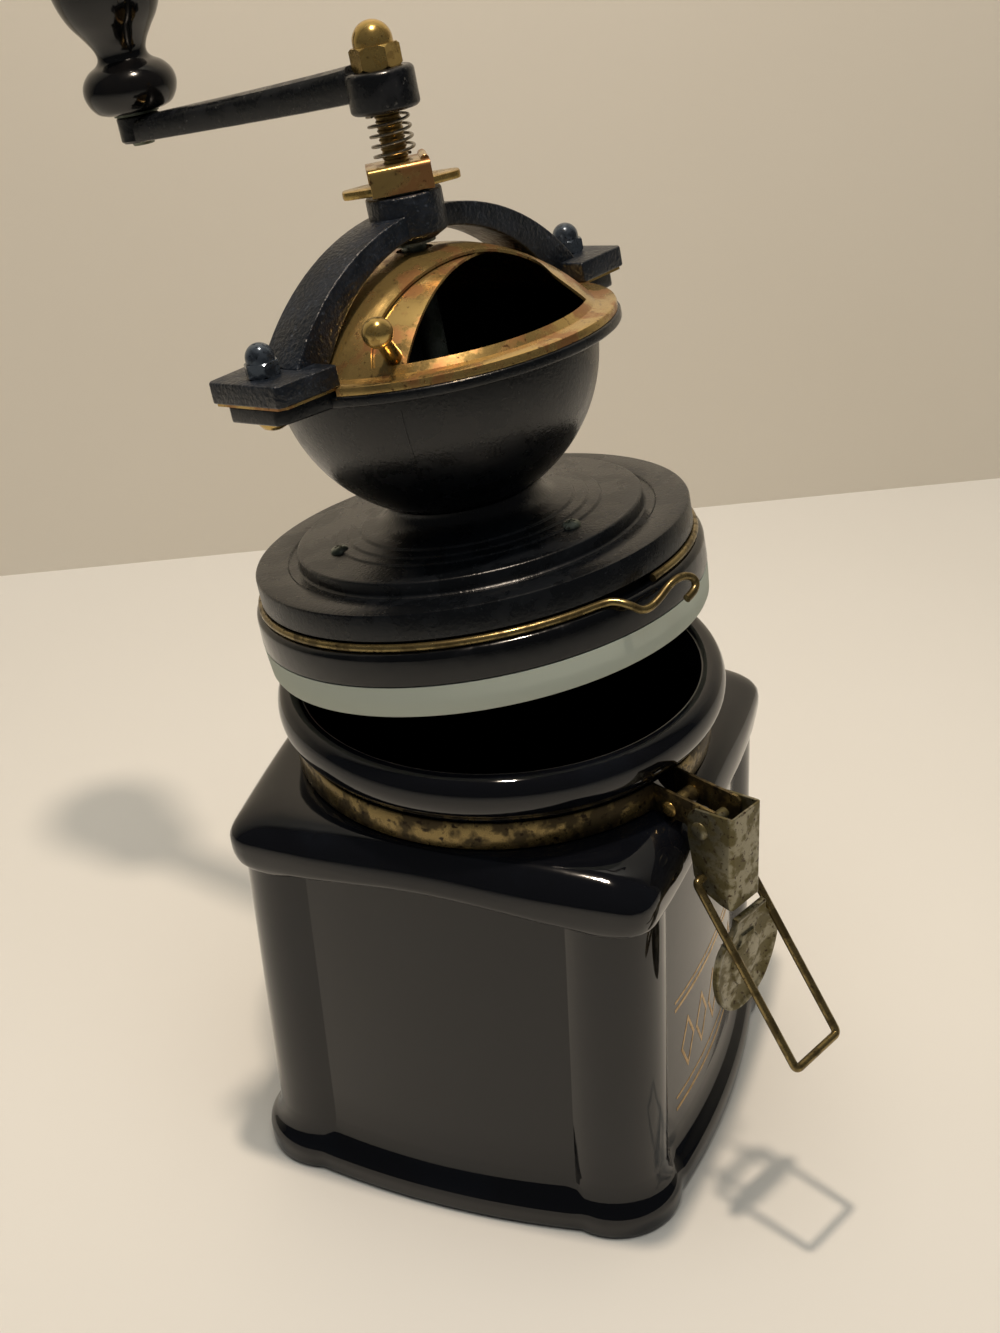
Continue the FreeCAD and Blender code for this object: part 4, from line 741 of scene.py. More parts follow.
@dataclass
class Canister:
    """Square glazed canister with bulging panels, corner columns, drooping lip, neck and rolled rim."""

    panel_half: float = 55.1
    groove_x: float = 52.0
    groove_y: float = 33.4
    corner: float = 50.0
    foot_flare: float = 5.0
    foot_corner_flare: float = 2.6
    roof: tuple[float, float, float, float] = (57.6, 54.7, 47.9, 52.5)
    lip_level: float = 96.4
    lip_arch: float = 2.6
    lip_rounding: float = 2.1
    shoulder_level: float = 101.3
    shoulder_rise: float = 9.0
    neck: float = 51.8
    bore: float = 47.5
    wall: float = 5.5
    foot_top: float = 15.0
    panel_steps: int = 24
    column_steps: int = 16
    foot: tuple[tuple[float, float], ...] = (
        (0.0, 0.78), (0.5, 0.92), (1.4, 1.0), (3.5, 1.02), (5.6, 1.0), (7.4, 0.8), (9.0, 0.42), (11.5, 0.14),
        (15.0, 0.0),
    )

    def section(self, mid: float, groove_x: float, groove_y: float, corner: float) -> list[Vector]:
        """Outline of the body at one height.

        Args:
            mid: Distance of a panel's middle from the axis.
            groove_x: Distance of the grooves from the axis across the panel.
            groove_y: Distance of the grooves from the panel's middle.
            corner: Both coordinates of the corner column's middle.

        Returns:
            Points round the canister.
        """
        ring = []
        for quarter in range(4):
            turn = Matrix.Rotation(math.pi / 2 * quarter, 2)
            panel = arc_through((groove_x, -groove_y), (mid, 0), (groove_x, groove_y), self.panel_steps)
            column = arc_through(
                (groove_x, groove_y), (corner, corner), (groove_y, groove_x), self.column_steps
            )
            ring += [turn @ point for point in panel[:-1] + column[:-1]]
        return ring

    def body_ring(self, grow: float, corner_grow: float, inset: float = 0.0) -> list[Vector]:
        """Section of the body, larger at the foot and smaller inside."""
        return self.section(
            self.panel_half + grow - inset,
            self.groove_x + grow - inset,
            self.groove_y + grow * 0.6 - inset * 0.7,
            self.corner + corner_grow - inset * 0.95,
        )

    def round_ring(self, square: Sequence[float], radius: float, share: float) -> list[Vector]:
        """Section between a square one and a circle; share 1 is the circle."""
        seam = math.atan2(square[2], square[1])
        circle = (radius, radius * math.cos(seam), radius * math.sin(seam), radius / math.sqrt(2))
        return self.section(*[a + (b - a) * share for a, b in zip(square, circle)])

    def roof_ring(self, drawn_in: float, share: float, turns: Sequence[float]) -> list[Vector]:
        """Smooth outline of the shoulder at given azimuths.

        Args:
            drawn_in: How far the outline lies inside its widest one.
            share: Share of the way to the round neck.
            turns: Azimuths of the wanted points.

        Returns:
            One point for each azimuth.
        """
        mid, edge_x, edge_y, corner = self.roof
        square = (mid - drawn_in, edge_x - drawn_in, edge_y - drawn_in * 0.4, corner - drawn_in)
        ring = self.round_ring(square, self.neck, share)
        known = sorted((math.atan2(point.y, point.x), point.length) for point in ring)
        known = [(known[-1][0] - 2 * math.pi, known[-1][1]), *known, (known[0][0] + 2 * math.pi, known[0][1])]
        angles = [angle for angle, _ in known]
        points = []
        for turn in turns:
            after = bisect.bisect_right(angles, turn)
            (low, near), (high, far) = known[after - 1], known[after]
            reach = near + (far - near) * (turn - low) / (high - low)
            points.append(Vector((reach * math.cos(turn), reach * math.sin(turn))))
        return points

    def droop(self, point: Vector) -> float:
        """Height of the lip's lower edge above a point of the outline: arched over each panel."""
        across = min(abs(point.x), abs(point.y))
        return self.lip_level + self.lip_arch * math.cos(math.pi * min(across, self.groove_x) / self.groove_x)

    def drawn_in(self, height: float) -> float:
        """How far the lip lies inside its widest outline at a height."""
        steps = ((93.0, 1.8), (94.6, 0.9), (96.6, 0.31), (99.0, 0.04), (101.0, 0.0))
        for (low, before), (high, after) in zip(steps, steps[1:]):
            if height < high:
                return before + (after - before) * (height - low) / (high - low)
        return 0.0

    def outer_rings(self) -> list[list[Vector]]:
        """Rings from the underside up the outside to the neck."""
        rings = []
        for height, inset in ((1.2, 12.0), (1.2, 9.6), (0.9, 9.0), (0.0, 8.4), (0.0, -1.2)):
            rings.append([point.to_3d() + Vector((0, 0, height)) for point in self.body_ring(0, 0, inset)])
        for height, share in smooth_row(self.foot, 3):
            ring = self.body_ring(self.foot_flare * share, self.foot_corner_flare * share)
            rings.append([point.to_3d() + Vector((0, 0, height)) for point in ring])
        straight = self.body_ring(0, 0)
        turns = [math.atan2(point.y, point.x) for point in straight]
        tops = [self.droop(point) for point in self.roof_ring(0.0, 0.0, turns)]
        for share in (0.12, 0.3, 0.5, 0.7, 0.85, 0.94, 0.985, 1.0):
            heights = [self.foot_top + (top - self.foot_top) * share for top in tops]
            rings.append([p.to_3d() + Vector((0, 0, height)) for p, height in zip(straight, heights)])
        rounding = (
            (0.3, -0.05), (0.58, 0.1), (0.8, 0.5), (0.92, 1.0), (0.98, 1.55), (1.0, self.lip_rounding)
        )
        for share, rise in rounding:
            rings.append(self.lip_ring(straight, turns, [top + rise for top in tops], share))
        for part in (0.3, 0.6, 0.85, 1.0):
            rise = self.shoulder_level
            heights = [top + self.lip_rounding + (rise - top - self.lip_rounding) * part for top in tops]
            rings.append(self.lip_ring(straight, turns, heights, 1.0))
        steps = 20
        for step in range(1, steps + 1):
            share = step / steps
            blend = (1 - math.cos(share * math.pi / 2)) ** 0.75
            height = self.shoulder_level + self.shoulder_rise * math.sin(share * math.pi / 2) ** 0.8
            rings.append(
                [point.to_3d() + Vector((0, 0, height)) for point in self.roof_ring(0.0, blend, turns)]
            )
        return rings

    def lip_ring(
        self, straight: Sequence[Vector], turns: Sequence[float], heights: Sequence[float], share: float
    ) -> list[Vector]:
        """Ring of the lip between the body's outline and the shoulder's.

        Args:
            straight: Outline of the body.
            turns: Azimuths of its points.
            heights: Height of each point.
            share: Share of the way out to the shoulder's outline.

        Returns:
            Points of the ring.
        """
        ring = []
        for inner, turn, height in zip(straight, turns, heights):
            outer = self.roof_ring(self.drawn_in(height), 0.0, [turn])[0]
            ring.append((inner + (outer - inner) * share).to_3d() + Vector((0, 0, height)))
        return ring

    def neck_rings(self) -> list[list[Vector]]:
        """Rings up the neck, over the rolled rim and down the inside to the floor."""
        rim = [(self.neck, 112.5), (self.neck, 117.6), (self.neck + 0.3, 118.6), (self.neck + 1.2, 119.4)]
        rim += self.rim_profile()
        rings = []
        for radius, height in rim:
            ring = [point.normalized() * radius for point in self.body_ring(0, 0)]
            rings.append([point.to_3d() + Vector((0, 0, height)) for point in ring])
        inset = self.wall
        square = (
            self.panel_half - inset, self.groove_x - inset, self.groove_y - inset * 0.7,
            self.corner - inset * 0.95,
        )
        for height, share in (
            (108.0, 1.0), (103.0, 0.8), (95.0, 0.35), (85.0, 0.0), (50.0, 0.0), (11.0, 0.0)
        ):
            ring = self.round_ring(square, self.bore, share)
            rings.append([point.to_3d() + Vector((0, 0, height)) for point in ring])
        for height, inset in ((8.6, 6.6), (7.2, 9.0), (7.0, 14.0)):
            rings.append([point.to_3d() + Vector((0, 0, height)) for point in self.body_ring(0, 0, inset)])
        return rings

    def rim_profile(self) -> list[tuple[float, float]]:
        """Section of the rolled rim from the neck over the crest to the bore."""
        rows = (
            (53.2, 119.9), (54.6, 121.2), (55.7, 123.0), (56.2, 125.3), (55.9, 127.7), (54.9, 129.8),
            (53.4, 130.8),
            (52.2, 131.0), (50.8, 130.7), (49.8, 129.8), (49.2, 128.4), (48.4, 126.4), (47.6, 123.6),
            (47.5, 118.0),
        )
        return [tuple(point) for point in smooth_row(rows, 3)]

    def ornament(self) -> Mesh:
        """Gold rules and a row of plain lozenges as a thin print on the front panel."""
        strips = [
            (-28.0, 28.0, 55.8, 0.7), (-28.0, 28.0, 53.3, 1.0), (-27.4, 27.4, 23.8, 0.7),
            (-27.4, 27.4, 19.9, 1.1)
        ]
        parts = []
        for left, right, height, width in strips:
            outline = [(left, height - width / 2), (right, height - width / 2)]
            outline += [(right, height + width / 2), (left, height + width / 2)]
            parts.append(self.print_outline(outline))
        for centre in (-20.0, -10.0, 0.0, 10.0, 20.0):
            for side in range(4):
                a = self.lozenge_corner(centre, side, 1.0)
                b = self.lozenge_corner(centre, side + 1, 1.0)
                c = self.lozenge_corner(centre, side + 1, 0.78)
                d = self.lozenge_corner(centre, side, 0.78)
                parts.append(self.print_outline([a, b, c, d]))
        return joined(parts)

    def lozenge_corner(self, centre: float, side: int, size: float) -> tuple[float, float]:
        """Corner of a lozenge of the printed row."""
        turn = math.pi / 2 * side
        return (centre + 4.4 * size * math.cos(turn), 37.5 + 8.6 * size * math.sin(turn))

    def print_outline(self, outline: Sequence[Point]) -> Mesh:
        """Thin print with an outline in the panel's X and Z, laid on the panel's curve."""
        bm = plate(outline, 0.0, 0.06)
        long = [edge for edge in bm.edges if edge.calc_length() > 3.0]
        bmesh.ops.subdivide_edges(bm, edges=long, cuts=14, use_grid_fill=True)
        sag = self.panel_half - self.groove_x
        radius = (self.groove_y**2 + sag**2) / (2 * sag)
        for vert in bm.verts:
            x, z, lift = vert.co
            depth = self.panel_half - radius + math.sqrt(radius**2 - x**2)
            vert.co = (x, -depth - lift, z)
        bmesh.ops.recalc_face_normals(bm, faces=bm.faces)
        return bm

    def build(self) -> None:
        """Make the canister and its print."""
        shell = lofted(self.outer_rings() + self.neck_rings())
        place_piece("canister_glazed", shell, UPRIGHT, BLACK_GLAZE, Body.CANISTER, ["jar"])
        place_piece("canister_print", self.ornament(), UPRIGHT, FIRED_GOLD, Body.CANISTER)


# Neck strap and clamp


@dataclass
class NeckClamp:
    """Brass strap on the neck with its ears and hinge lugs, lever, thumb tab and wire bail."""

    radius: float = 51.85
    thick: float = 0.8
    low: float = 110.7
    high: float = 117.95
    ear_inner: float = 3.95
    lug_inner: float = 5.2
    pivot: tuple[float, float] = (-66.8, 111.3)
    lever_width: float = 11.3
    lever_face: float = -76.2
    tab_at: tuple[float, float, float] = (0.0, -75.3, 75.5)
    tab_turn: float = 94.0
    bail_half: float = 8.5
    bail_wire: float = 1.05
    bail_pivot: tuple[float, float] = (-68.0, 98.6)
    bail_end: tuple[float, float] = (-97.6, 57.6)

    def side_plate(self, outline: Sequence[Point], inner: float, thick: float) -> Mesh:
        """Plate that stands across X, with an outline in Y and Z, at both sides."""
        return joined(moved(plate(outline, near, near + thick), DRAWN_YZ) for near in (inner, -inner - thick))

    def strap(self) -> Mesh:
        """Open ring of the strap with a slightly crowned face."""
        middle = (self.low + self.high) / 2
        outer = self.radius + self.thick
        ring = spun(
            [
                (self.radius, self.low + 0.15),
                (self.radius + 0.2, self.low),
                (outer - 0.25, self.low),
                (outer - 0.05, self.low + 0.3),
                (outer + 0.05, middle),
                (outer - 0.05, self.high - 0.3),
                (outer - 0.25, self.high),
                (self.radius + 0.2, self.high),
                (self.radius, self.high - 0.15),
            ],
            160,
        )
        gap = self.ear_inner + 0.05
        opening = plate([(-gap, -70), (gap, -70), (gap, -40), (-gap, -40)], self.low - 2, self.high + 2)
        return carved(ring, [opening])

    def ears(self) -> Mesh:
        """Front ears of the strap, holding the lever's rivet between them."""
        y, z = self.pivot
        outline = [
            (-self.radius - 0.2, self.low),
            (y + 5, self.low),
            (y + 1.6, z - 3.4),
            (y - 2.8, z - 3.2),
            (y - 4.4, z - 0.4),
            (y - 4.4, self.high - 1.6),
            (y - 3.4, self.high - 0.6),
            (-self.radius - 0.2, self.high),
        ]
        return soften(self.side_plate(outline, self.ear_inner, self.thick), 0.15, 2)

    def lugs(self) -> Mesh:
        """Rear lugs of the strap that carry the hinge axle."""
        y, z = HINGE.y, HINGE.z
        crown = arc(y + 0.3, z + 0.2, 3.0, -20, 130, 8)
        outline = [(self.radius + 0.2, self.low), (y + 1.0, self.low), *crown]
        outline += [(y - 1.6, self.high), (self.radius + 0.2, self.high)]
        return soften(self.side_plate(outline, self.lug_inner, self.thick), 0.15, 2)

    def lever(self) -> Mesh:
        """Folded channel of the clamp lever, its fold edges rounded."""
        half = self.lever_width / 2
        y, z = self.pivot
        by, bz = self.bail_pivot
        face = self.lever_face
        side = [
            (face, 118.0),
            (face, 92.0),
            (face + 3.4, 92.6),
            (by + 1.6, bz - 3.6),
            (by + 3.0, bz - 0.6),
            (by + 3.4, bz + 2.4),
            (y + 3.6, z - 2.6),
            (y + 3.6, z + 2.6),
            (y + 3.0, 115.4),
            (y + 1.6, 116.8),
        ]
        outer = moved(plate(side, -half, half), DRAWN_YZ)
        front = [e for e in outer.edges if all(abs(v.co.y - face) < 1e-3 for v in e.verts)]
        folds = [e for e in front if abs(e.verts[0].co.z - e.verts[1].co.z) > 5]
        bmesh.ops.bevel(
            outer, geom=folds, offset=1.1, segments=4, profile=0.5, affect="EDGES", material=-1
        )
        inner_half = half - self.thick
        box = [(face + self.thick, 80), (face + 30, 80), (face + 30, 130), (face + self.thick, 130)]
        inside = moved(plate(box, -inner_half, inner_half), DRAWN_YZ)
        return soften(carved(outer, [inside]), 0.12, 1, 50.0)

    def tab(self) -> Mesh:
        """Egg-shaped thumb tab, dished, with a raised rim and a round boss."""
        outline = smooth_row(
            [
                (5.6, 15.0), (5.8, 12.6), (7.6, 10.4), (10.6, 8.0), (12.0, 3.6), (11.9, -1.6), (10.2, -7.2),
                (7.6, -11.6), (3.6, -14.6), (0.0, -15.3), (-3.6, -14.6), (-7.6, -11.6), (-10.2, -7.2),
                (-11.9, -1.6),
                (-12.0, 3.6), (-10.6, 8.0), (-7.6, 10.4), (-5.8, 12.6), (-5.6, 15.0),
            ],
            3,
        )
        rings = []
        for shrink, height in (
            (0.0, 0.3), (0.0, 1.5), (0.25, 1.8), (0.8, 1.75), (1.5, 1.25), (2.6, 0.85), (5.0, 0.7),
            (7.0, 0.75),
            (7.3, 1.25), (7.8, 1.4), (10.0, 1.35),
        ):
            scale = 1 - shrink / 12.2
            tall = 1 - shrink / 15.4
            rings.append([Vector((x * scale, y * tall, height)) for x, y in outline])
        under = [Vector((x * 0.97, y * 0.98, 0.0)) for x, y in outline]
        return lofted([under, *rings])

    def bail(self) -> Mesh:
        """Wire loop hung in the lever: ends turned in, straight legs and cross bar."""
        run = math.hypot(self.bail_end[0] - self.bail_pivot[0], self.bail_end[1] - self.bail_pivot[1])
        half = self.bail_half
        corners = [(-4.3, 0, 0), (-half, 0, 0), (-half, -run, 0), (half, -run, 0), (half, 0, 0), (4.3, 0, 0)]
        return wire(bent(corners, 3.0), self.bail_wire)

    def bail_frame(self) -> Matrix:
        """Frame at the bail's pivot with -Y down its legs."""
        dy = self.bail_end[0] - self.bail_pivot[0]
        dz = self.bail_end[1] - self.bail_pivot[1]
        lean = math.atan2(-dz, -dy)
        return FITTINGS @ Matrix.Translation((0, *self.bail_pivot)) @ Matrix.Rotation(lean, 4, "X")

    def pin(self, y: float, z: float, half: float, shank: float, head: float, crown: float) -> Mesh:
        """Rivet or axle along X with domed heads."""
        profile = [(0.0, -half - crown)]
        profile += [(head * math.sin(t), -half - crown * math.cos(t)) for t in (0.4, 0.8, 1.2, 1.5)]
        profile += [(head, -half), (shank, -half), (shank, half), (head, half)]
        profile += [(head * math.sin(t), half + crown * math.cos(t)) for t in (1.5, 1.2, 0.8, 0.4)]
        profile += [(0.0, half + crown)]
        return moved(spun(profile, 40), Matrix.Translation((0, y, z)) @ Matrix.Rotation(math.pi / 2, 4, "Y"))

    def build(self) -> None:
        """Make the strap, the clamp and the pins."""
        band = joined([self.strap(), self.ears(), self.lugs()])
        # The strap's brass carries painted shade in its darkened colour.
        place_piece(
            "strap_brass_band", band, FITTINGS, STRAP_BRASS_AND_SHADE, Body.CANISTER, ["neck_band"]
        )
        spacer = [(1.03, -3.95), (2.1, -3.95), (2.2, -3.7), (2.2, 3.7), (2.1, 3.95), (1.03, 3.95)]
        y, z = self.pivot[0] + 9.6, self.low + 2.2
        tube = moved(spun(spacer, 40), Matrix.Translation((0, y, z)) @ Matrix.Rotation(math.pi / 2, 4, "Y"))
        place_piece(
            "strap_spacer_tube", tube, FITTINGS, STRAP_BRASS_AND_SHADE, Body.CANISTER, ["band_spacer"]
        )
        pins = (
            ("band_rivet", y, z, 4.8, 1.0, 2.0, 0.8, TURNED_BRASS),
            ("lever_rivet", *self.pivot, 5.7, 1.5, 2.35, 0.9, WORN_PLATE),
            ("hinge_axle", HINGE.y, HINGE.z, 6.1, 1.5, 3.1, 1.7, TURNED_BRASS),
        )
        for node, at_y, at_z, half, shank, head, crown, finish in pins:
            made = self.pin(at_y, at_z, half, shank, head, crown)
            place_piece(f"{node}_turned", made, FITTINGS, finish, Body.CANISTER, [node])
        place_piece(
            "lever_channel", self.lever(), FITTINGS, WORN_PLATE, Body.LEVER, ["clamp_lever"]
        )
        lean = Matrix.Translation(self.tab_at) @ Matrix.Rotation(math.radians(self.tab_turn), 4, "X")
        place_piece(
            "lever_thumb_tab", self.tab(), FITTINGS @ lean, WORN_PLATE, Body.LEVER,
            ["thumb_tab"]
        )
        place_piece(
            "bail_wire", self.bail(), self.bail_frame(), DRAWN_WIRE, Body.BAIL, ["bail_loop"]
        )


# Lid


@dataclass
class LidPlates:
    """Iron casting with plateau, neck and bowl, lacquered lower disc, seal, wire ring and hinge strap."""

    screw_angles: tuple[float, ...] = (-87.8, 32.2, 152.2)
    screw_circle: float = 32.7

    def casting(self) -> Mesh:
        """Casting in one piece: disc, plateau, stepped neck, bowl with rolled flange and ears."""
        bowl, inner, centre = 38.4, 35.4, 200.2
        low = math.degrees(math.asin((166.5 - centre) / bowl))
        high = math.degrees(math.asin((200.9 - centre) / bowl))
        inner_high = math.degrees(math.asin((204.8 - centre) / inner))
        inner_low = -math.degrees(math.acos(14.5 / inner))
        profile = [
            (22.1, 139.45), (26.0, 139.45), (26.0, 148.3), (27.5, 153.3), (49.0, 153.3), (49.6, 148.3),
            (51.9, 148.3),
            (51.9, 149.3), (53.0, 149.3), (53.5, 149.9), (53.5, 155.6), (53.25, 156.05), (52.7, 156.3),
            (45.5, 156.3),
            (45.1, 155.7), (43.0, 155.7), (42.5, 156.1), (42.5, 158.8), (42.3, 159.2), (41.9, 159.3),
            (32.9, 159.3),
            (32.5, 159.9), (29.9, 159.9), (29.5, 160.5), (26.5, 160.5), (26.1, 161.2), (23.2, 161.3),
        ]
        profile += [(22.0, 161.6), (20.6, 162.4), (19.4, 163.6), (18.7, 165.0)]
        profile += arc(0, centre, bowl, low, high, 30)
        profile += [(44.0, 200.9), (44.4, 201.3), (44.4, 203.0), (44.0, 203.4), (42.8, 203.4), (42.8, 204.8)]
        profile += arc(0, centre, inner, inner_high, inner_low, 30)
        profile += [(14.5, 160.45), (22.1, 160.45)]
        base = soften(spun(profile, 160), 0.25, 2, 40)
        ears = []
        for side in (-1, 1):
            outline = [(40.0, -12.0), (53.8, -9.6), (55.8, -7.6), (55.8, 7.6), (53.8, 9.6), (40.0, 12.0)]
            ear = soften(plate([(side * x, y) for x, y in outline], 200.9, 204.8), 0.6, 3)
            ears.append(ear)
        parting = self.parting_ridge()
        return joined([base, *ears, parting])

    def parting_ridge(self) -> Mesh:
        """Mould line: a fine raised seam down the bowl."""
        azimuth = math.radians(213)
        path = []
        for degrees in range(-4, -56, -4):
            t = math.radians(degrees)
            path.append(Vector((38.42 * math.cos(t), 0, 200.2 + 38.42 * math.sin(t))))
        seam = wire(path, 0.16, sides=2)
        return moved(seam, Matrix.Rotation(azimuth, 4, "Z"))

    def build(self) -> None:
        """Make the lid's plates and their fittings."""
        place_piece(
            "casting_painted", self.casting(), LID, PAINTED_IRON, Body.LID, ["grinder_casting"]
        )
        disc = [
            (26.1, 139.45), (31.0, 139.45), (32.0, 143.45), (43.0, 143.45), (44.0, 139.45), (54.9, 139.45),
            (55.4, 139.7), (55.5, 140.2), (55.5, 145.6), (55.3, 146.5), (54.8, 147.1), (54.2, 147.35),
            (51.8, 147.35),
            (51.8, 148.28), (26.1, 148.28),
        ]
        place_piece(
            "lower_disc_lacquered", spun(disc, 160), LID, STOVED_LACQUER, Body.LID, [
                "lower_disc"
            ]
        )
        seal = [
            (46.5, 132.3), (47.0, 131.7), (48.0, 131.35), (50.8, 131.3), (53.4, 131.35), (54.5, 131.8),
            (54.9, 132.5),
            (55.2, 136.0), (55.4, 139.3), (46.0, 139.3),
        ]
        place_piece("seal_moulded", spun(seal, 160), LID, PALE_RUBBER_AND_SHADE, Body.LID, ["lid_seal"])
        place_piece("ring_wire", self.ring(), LID, DRAWN_WIRE, Body.LID, ["wire_ring"])
        place_piece(
            "hinge_strap_bent", self.hinge_strap(), LID, STRAP_BRASS_AND_SHADE, Body.LID, ["hinge_strap"]
        )
        for number, turn in enumerate(self.screw_angles, start=1):
            place = LID @ turned(turn) @ Matrix.Translation((self.screw_circle, 0, 0))
            place_piece(
                f"lid_screw_head_{number}", self.screw(), place, OILED_STEEL, Body.LID, [
                    f"lid_screw_{number}"
                ]
            )

    def ring(self) -> Mesh:
        """Wire in the groove with its front hook."""
        radius, height = 53.7, 148.3
        path = []
        for degrees in range(-87, 256, 7):
            turn = math.radians(degrees)
            path.append(Vector((radius * math.cos(turn), radius * math.sin(turn), height)))
        path += [
            (-13.3, -52.0, height),
            (-11.0, -53.6, height),
            (-9.6, -56.8, height - 1.0),
            (-7.4, -58.8, height - 3.4),
            (-3.2, -59.4, height - 2.6),
            (1.4, -60.0, height + 0.2),
            (5.4, -60.8, height + 0.6),
            (8.2, -61.6, height - 1.2),
            (6.9, -62.3, height - 3.6),
            (3.4, -62.3, height - 4.2),
        ]
        return wire(path, 0.95)

    def hinge_strap(self) -> Mesh:
        """Rolled strap between the ring and the axle."""
        half = 4.2
        turns = arc(HINGE.y, HINGE.z, 2.9, 200, 200 - 320, 20)
        inner = arc(HINGE.y, HINGE.z, 1.6, 200 - 320, 200, 20)
        eye = moved(plate(turns + inner, -half, half), DRAWN_YZ)
        leg = [
            (57.5, 121.5), (58.6, 121.5), (58.6, 148.0), (57.9, 149.3), (56.0, 149.9), (54.0, 149.9),
            (54.0, 149.5)
        ]
        leg += [(56.0, 149.0), (57.2, 148.2), (57.5, 147.4)]
        web = moved(plate(leg, -half, half), DRAWN_YZ)
        return soften(joined([eye, web]), 0.15, 2)

    def screw(self) -> Mesh:
        """Pan head with a cross recess, on its shank."""
        head = 159.31
        blank = spun(
            [
                (0.0, 145.0), (1.3, 145.0), (1.3, head), (2.3, head), (2.3, head + 0.4), (2.0, head + 0.9),
                (1.4, head + 1.3), (0.7, head + 1.45), (0.0, head + 1.5),
            ],
            32,
        )
        slots = []
        for turn in (20, 110):
            bar = plate([(-1.3, -0.25), (1.3, -0.25), (1.3, 0.25), (-1.3, 0.25)], head + 0.7, head + 3)
            slots.append(moved(bar, turned(turn)))
        return carved(blank, slots)


@dataclass
class Hopper:
    """Brass dome with its eye-shaped mouth, the turning inner door with its knob, yoke, bolts and nuts."""

    radius: float = 49.0
    foot: float = 39.0
    base: float = 205.4
    sheet: float = 0.6
    bolt_x: float = 50.2

    @property
    def centre(self) -> float:
        """Height of the dome's centre."""
        return self.base - math.sqrt(self.radius**2 - self.foot**2)

    def cover(self) -> Mesh:
        """Pressed dome with flange, lip, tongues and mouth."""
        inner = self.radius - self.sheet
        foot_inner = math.sqrt(inner**2 - (204.8 - self.centre) ** 2)
        profile = [
            (foot_inner, 204.8), (42.95, 204.8), (42.95, 203.5), (43.75, 203.5), (43.8, 204.7), (43.6, 205.2)
        ]
        profile += [(43.1, 205.4), (40.2, 205.4), (39.4, 205.6)]
        profile += arc(
            0, self.centre, self.radius, elevation(self.radius, 38.8), elevation(self.radius, 4.3), 34
        )
        profile += arc(0, self.centre, inner, elevation(inner, 4.3), elevation(inner, foot_inner), 34)[:-1]
        dome = spun(profile, 180)
        back = smooth_row(
            [
                (20.4, -31.4), (18.3, -28.4), (17.5, -25.2), (18.6, -22.0), (19.3, -19.0), (17.6, -15.8),
                (13.6, -13.9),
                (8.5, -13.1), (-7.0, -12.7), (-22.5, -12.4), (-29.6, -13.6), (-33.8, -16.1),
            ],
            4,
        )
        mouth = plate(arc(0, 0, 37.4, 205.5, 303.0, 30) + back[1:-1], 200, 240)
        relief = plate([(-60, -12.6), (60, -12.6), (60, 12.6), (-60, 12.6)], 198, 204.79)
        cut = carved(dome, [mouth, relief])
        tongues = []
        for side in (-1, 1):
            outline = [(41.5, -12.4), (54.9, -11.9), (56.5, -10.4), (56.5, 10.4), (54.9, 11.9), (41.5, 12.4)]
            tongues.append(plate([(side * x, y) for x, y in outline], 204.81, 205.39))
        return joined([cut, *tongues])

    def door(self) -> Mesh:
        """Inner dome segment with its straight front edge."""
        outer = self.radius - self.sheet - 0.4
        inner = outer - self.sheet
        low = self.base + 1.4
        reach = math.sqrt(outer**2 - (low - self.centre) ** 2)
        reach_in = math.sqrt(inner**2 - (low - self.centre) ** 2)
        profile = arc(0, self.centre, outer, elevation(outer, reach), elevation(outer, 3.06), 34)
        profile += arc(0, self.centre, inner, elevation(inner, 3.06), elevation(inner, reach_in), 34)
        shell = spun(profile, 160)
        beyond = plate([(-60, -60), (60, -60), (60, -13.7), (-60, -13.7)], 190, 240)
        return carved(shell, [moved(beyond, turned(15.2))])

    def knob_frame(self) -> Matrix:
        """Frame of the door's knob: its Z leaves the dome."""
        outer = self.radius - self.sheet - 0.4
        lean = math.asin(34.9 / outer)
        return LID @ turned(212.8) @ Matrix.Translation((0, 0, self.centre)) @ Matrix.Rotation(lean, 4, "Y")

    def door_knob(self) -> Mesh:
        """Ball on a waisted stem."""
        start = self.radius - self.sheet - 0.39
        profile = [
            (0.0, start), (2.0, start), (1.95, start + 1.6), (1.85, start + 4.0), (1.75, start + 6.4),
            (1.7, start + 7.8)
        ]
        profile += arc(0, start + 10.8, 3.4, -60, 90, 16)
        return spun(profile, 48)

    def yoke(self) -> Mesh:
        """Cast arch with pads and shaft boss, its edges rounded."""
        outer, inner = 56.6, 43.3
        centre_out, centre_in = 233.8 - outer, 228.6 - inner
        reach_out = math.degrees(math.asin((210.3 - centre_out) / outer))
        reach_in = math.degrees(math.asin((210.3 - centre_in) / inner))
        outline = [(45.0, 205.4), *arc(0, centre_out, outer, reach_out, 180 - reach_out, 40), (-45.0, 205.4)]
        outline += [(-39.7, 205.4), *arc(0, centre_in, inner, 180 - reach_in, reach_in, 36), (39.7, 205.4)]
        arch = soften(moved(plate(outline, -6.2, 6.2), DRAWN_XZ), 0.45, 3, 30)
        pads = []
        for side in (-1, 1):
            pad = [(40.4, -13.1), (55.9, -12.2), (57.0, -11.1), (57.0, 11.1), (55.9, 12.2), (40.4, 13.1)]
            pads.append(soften(plate([(side * x, y) for x, y in pad], 205.4, 210.3), 0.5, 3))
        boss = soften(
            spun([(4.15, 226.6), (5.6, 226.6), (8.8, 228.4), (8.8, 237.6), (4.15, 237.6)], 64), 0.5, 3, 25
        )
        spot = [(0.0, 210.32), (4.7, 210.32), (4.7, 222.0), (0.0, 222.0)]
        spots = [moved(spun(spot, 40), turned(0.0, side * self.bolt_x)) for side in (-1, 1)]
        return joined([carved(arch, spots), *pads, boss])

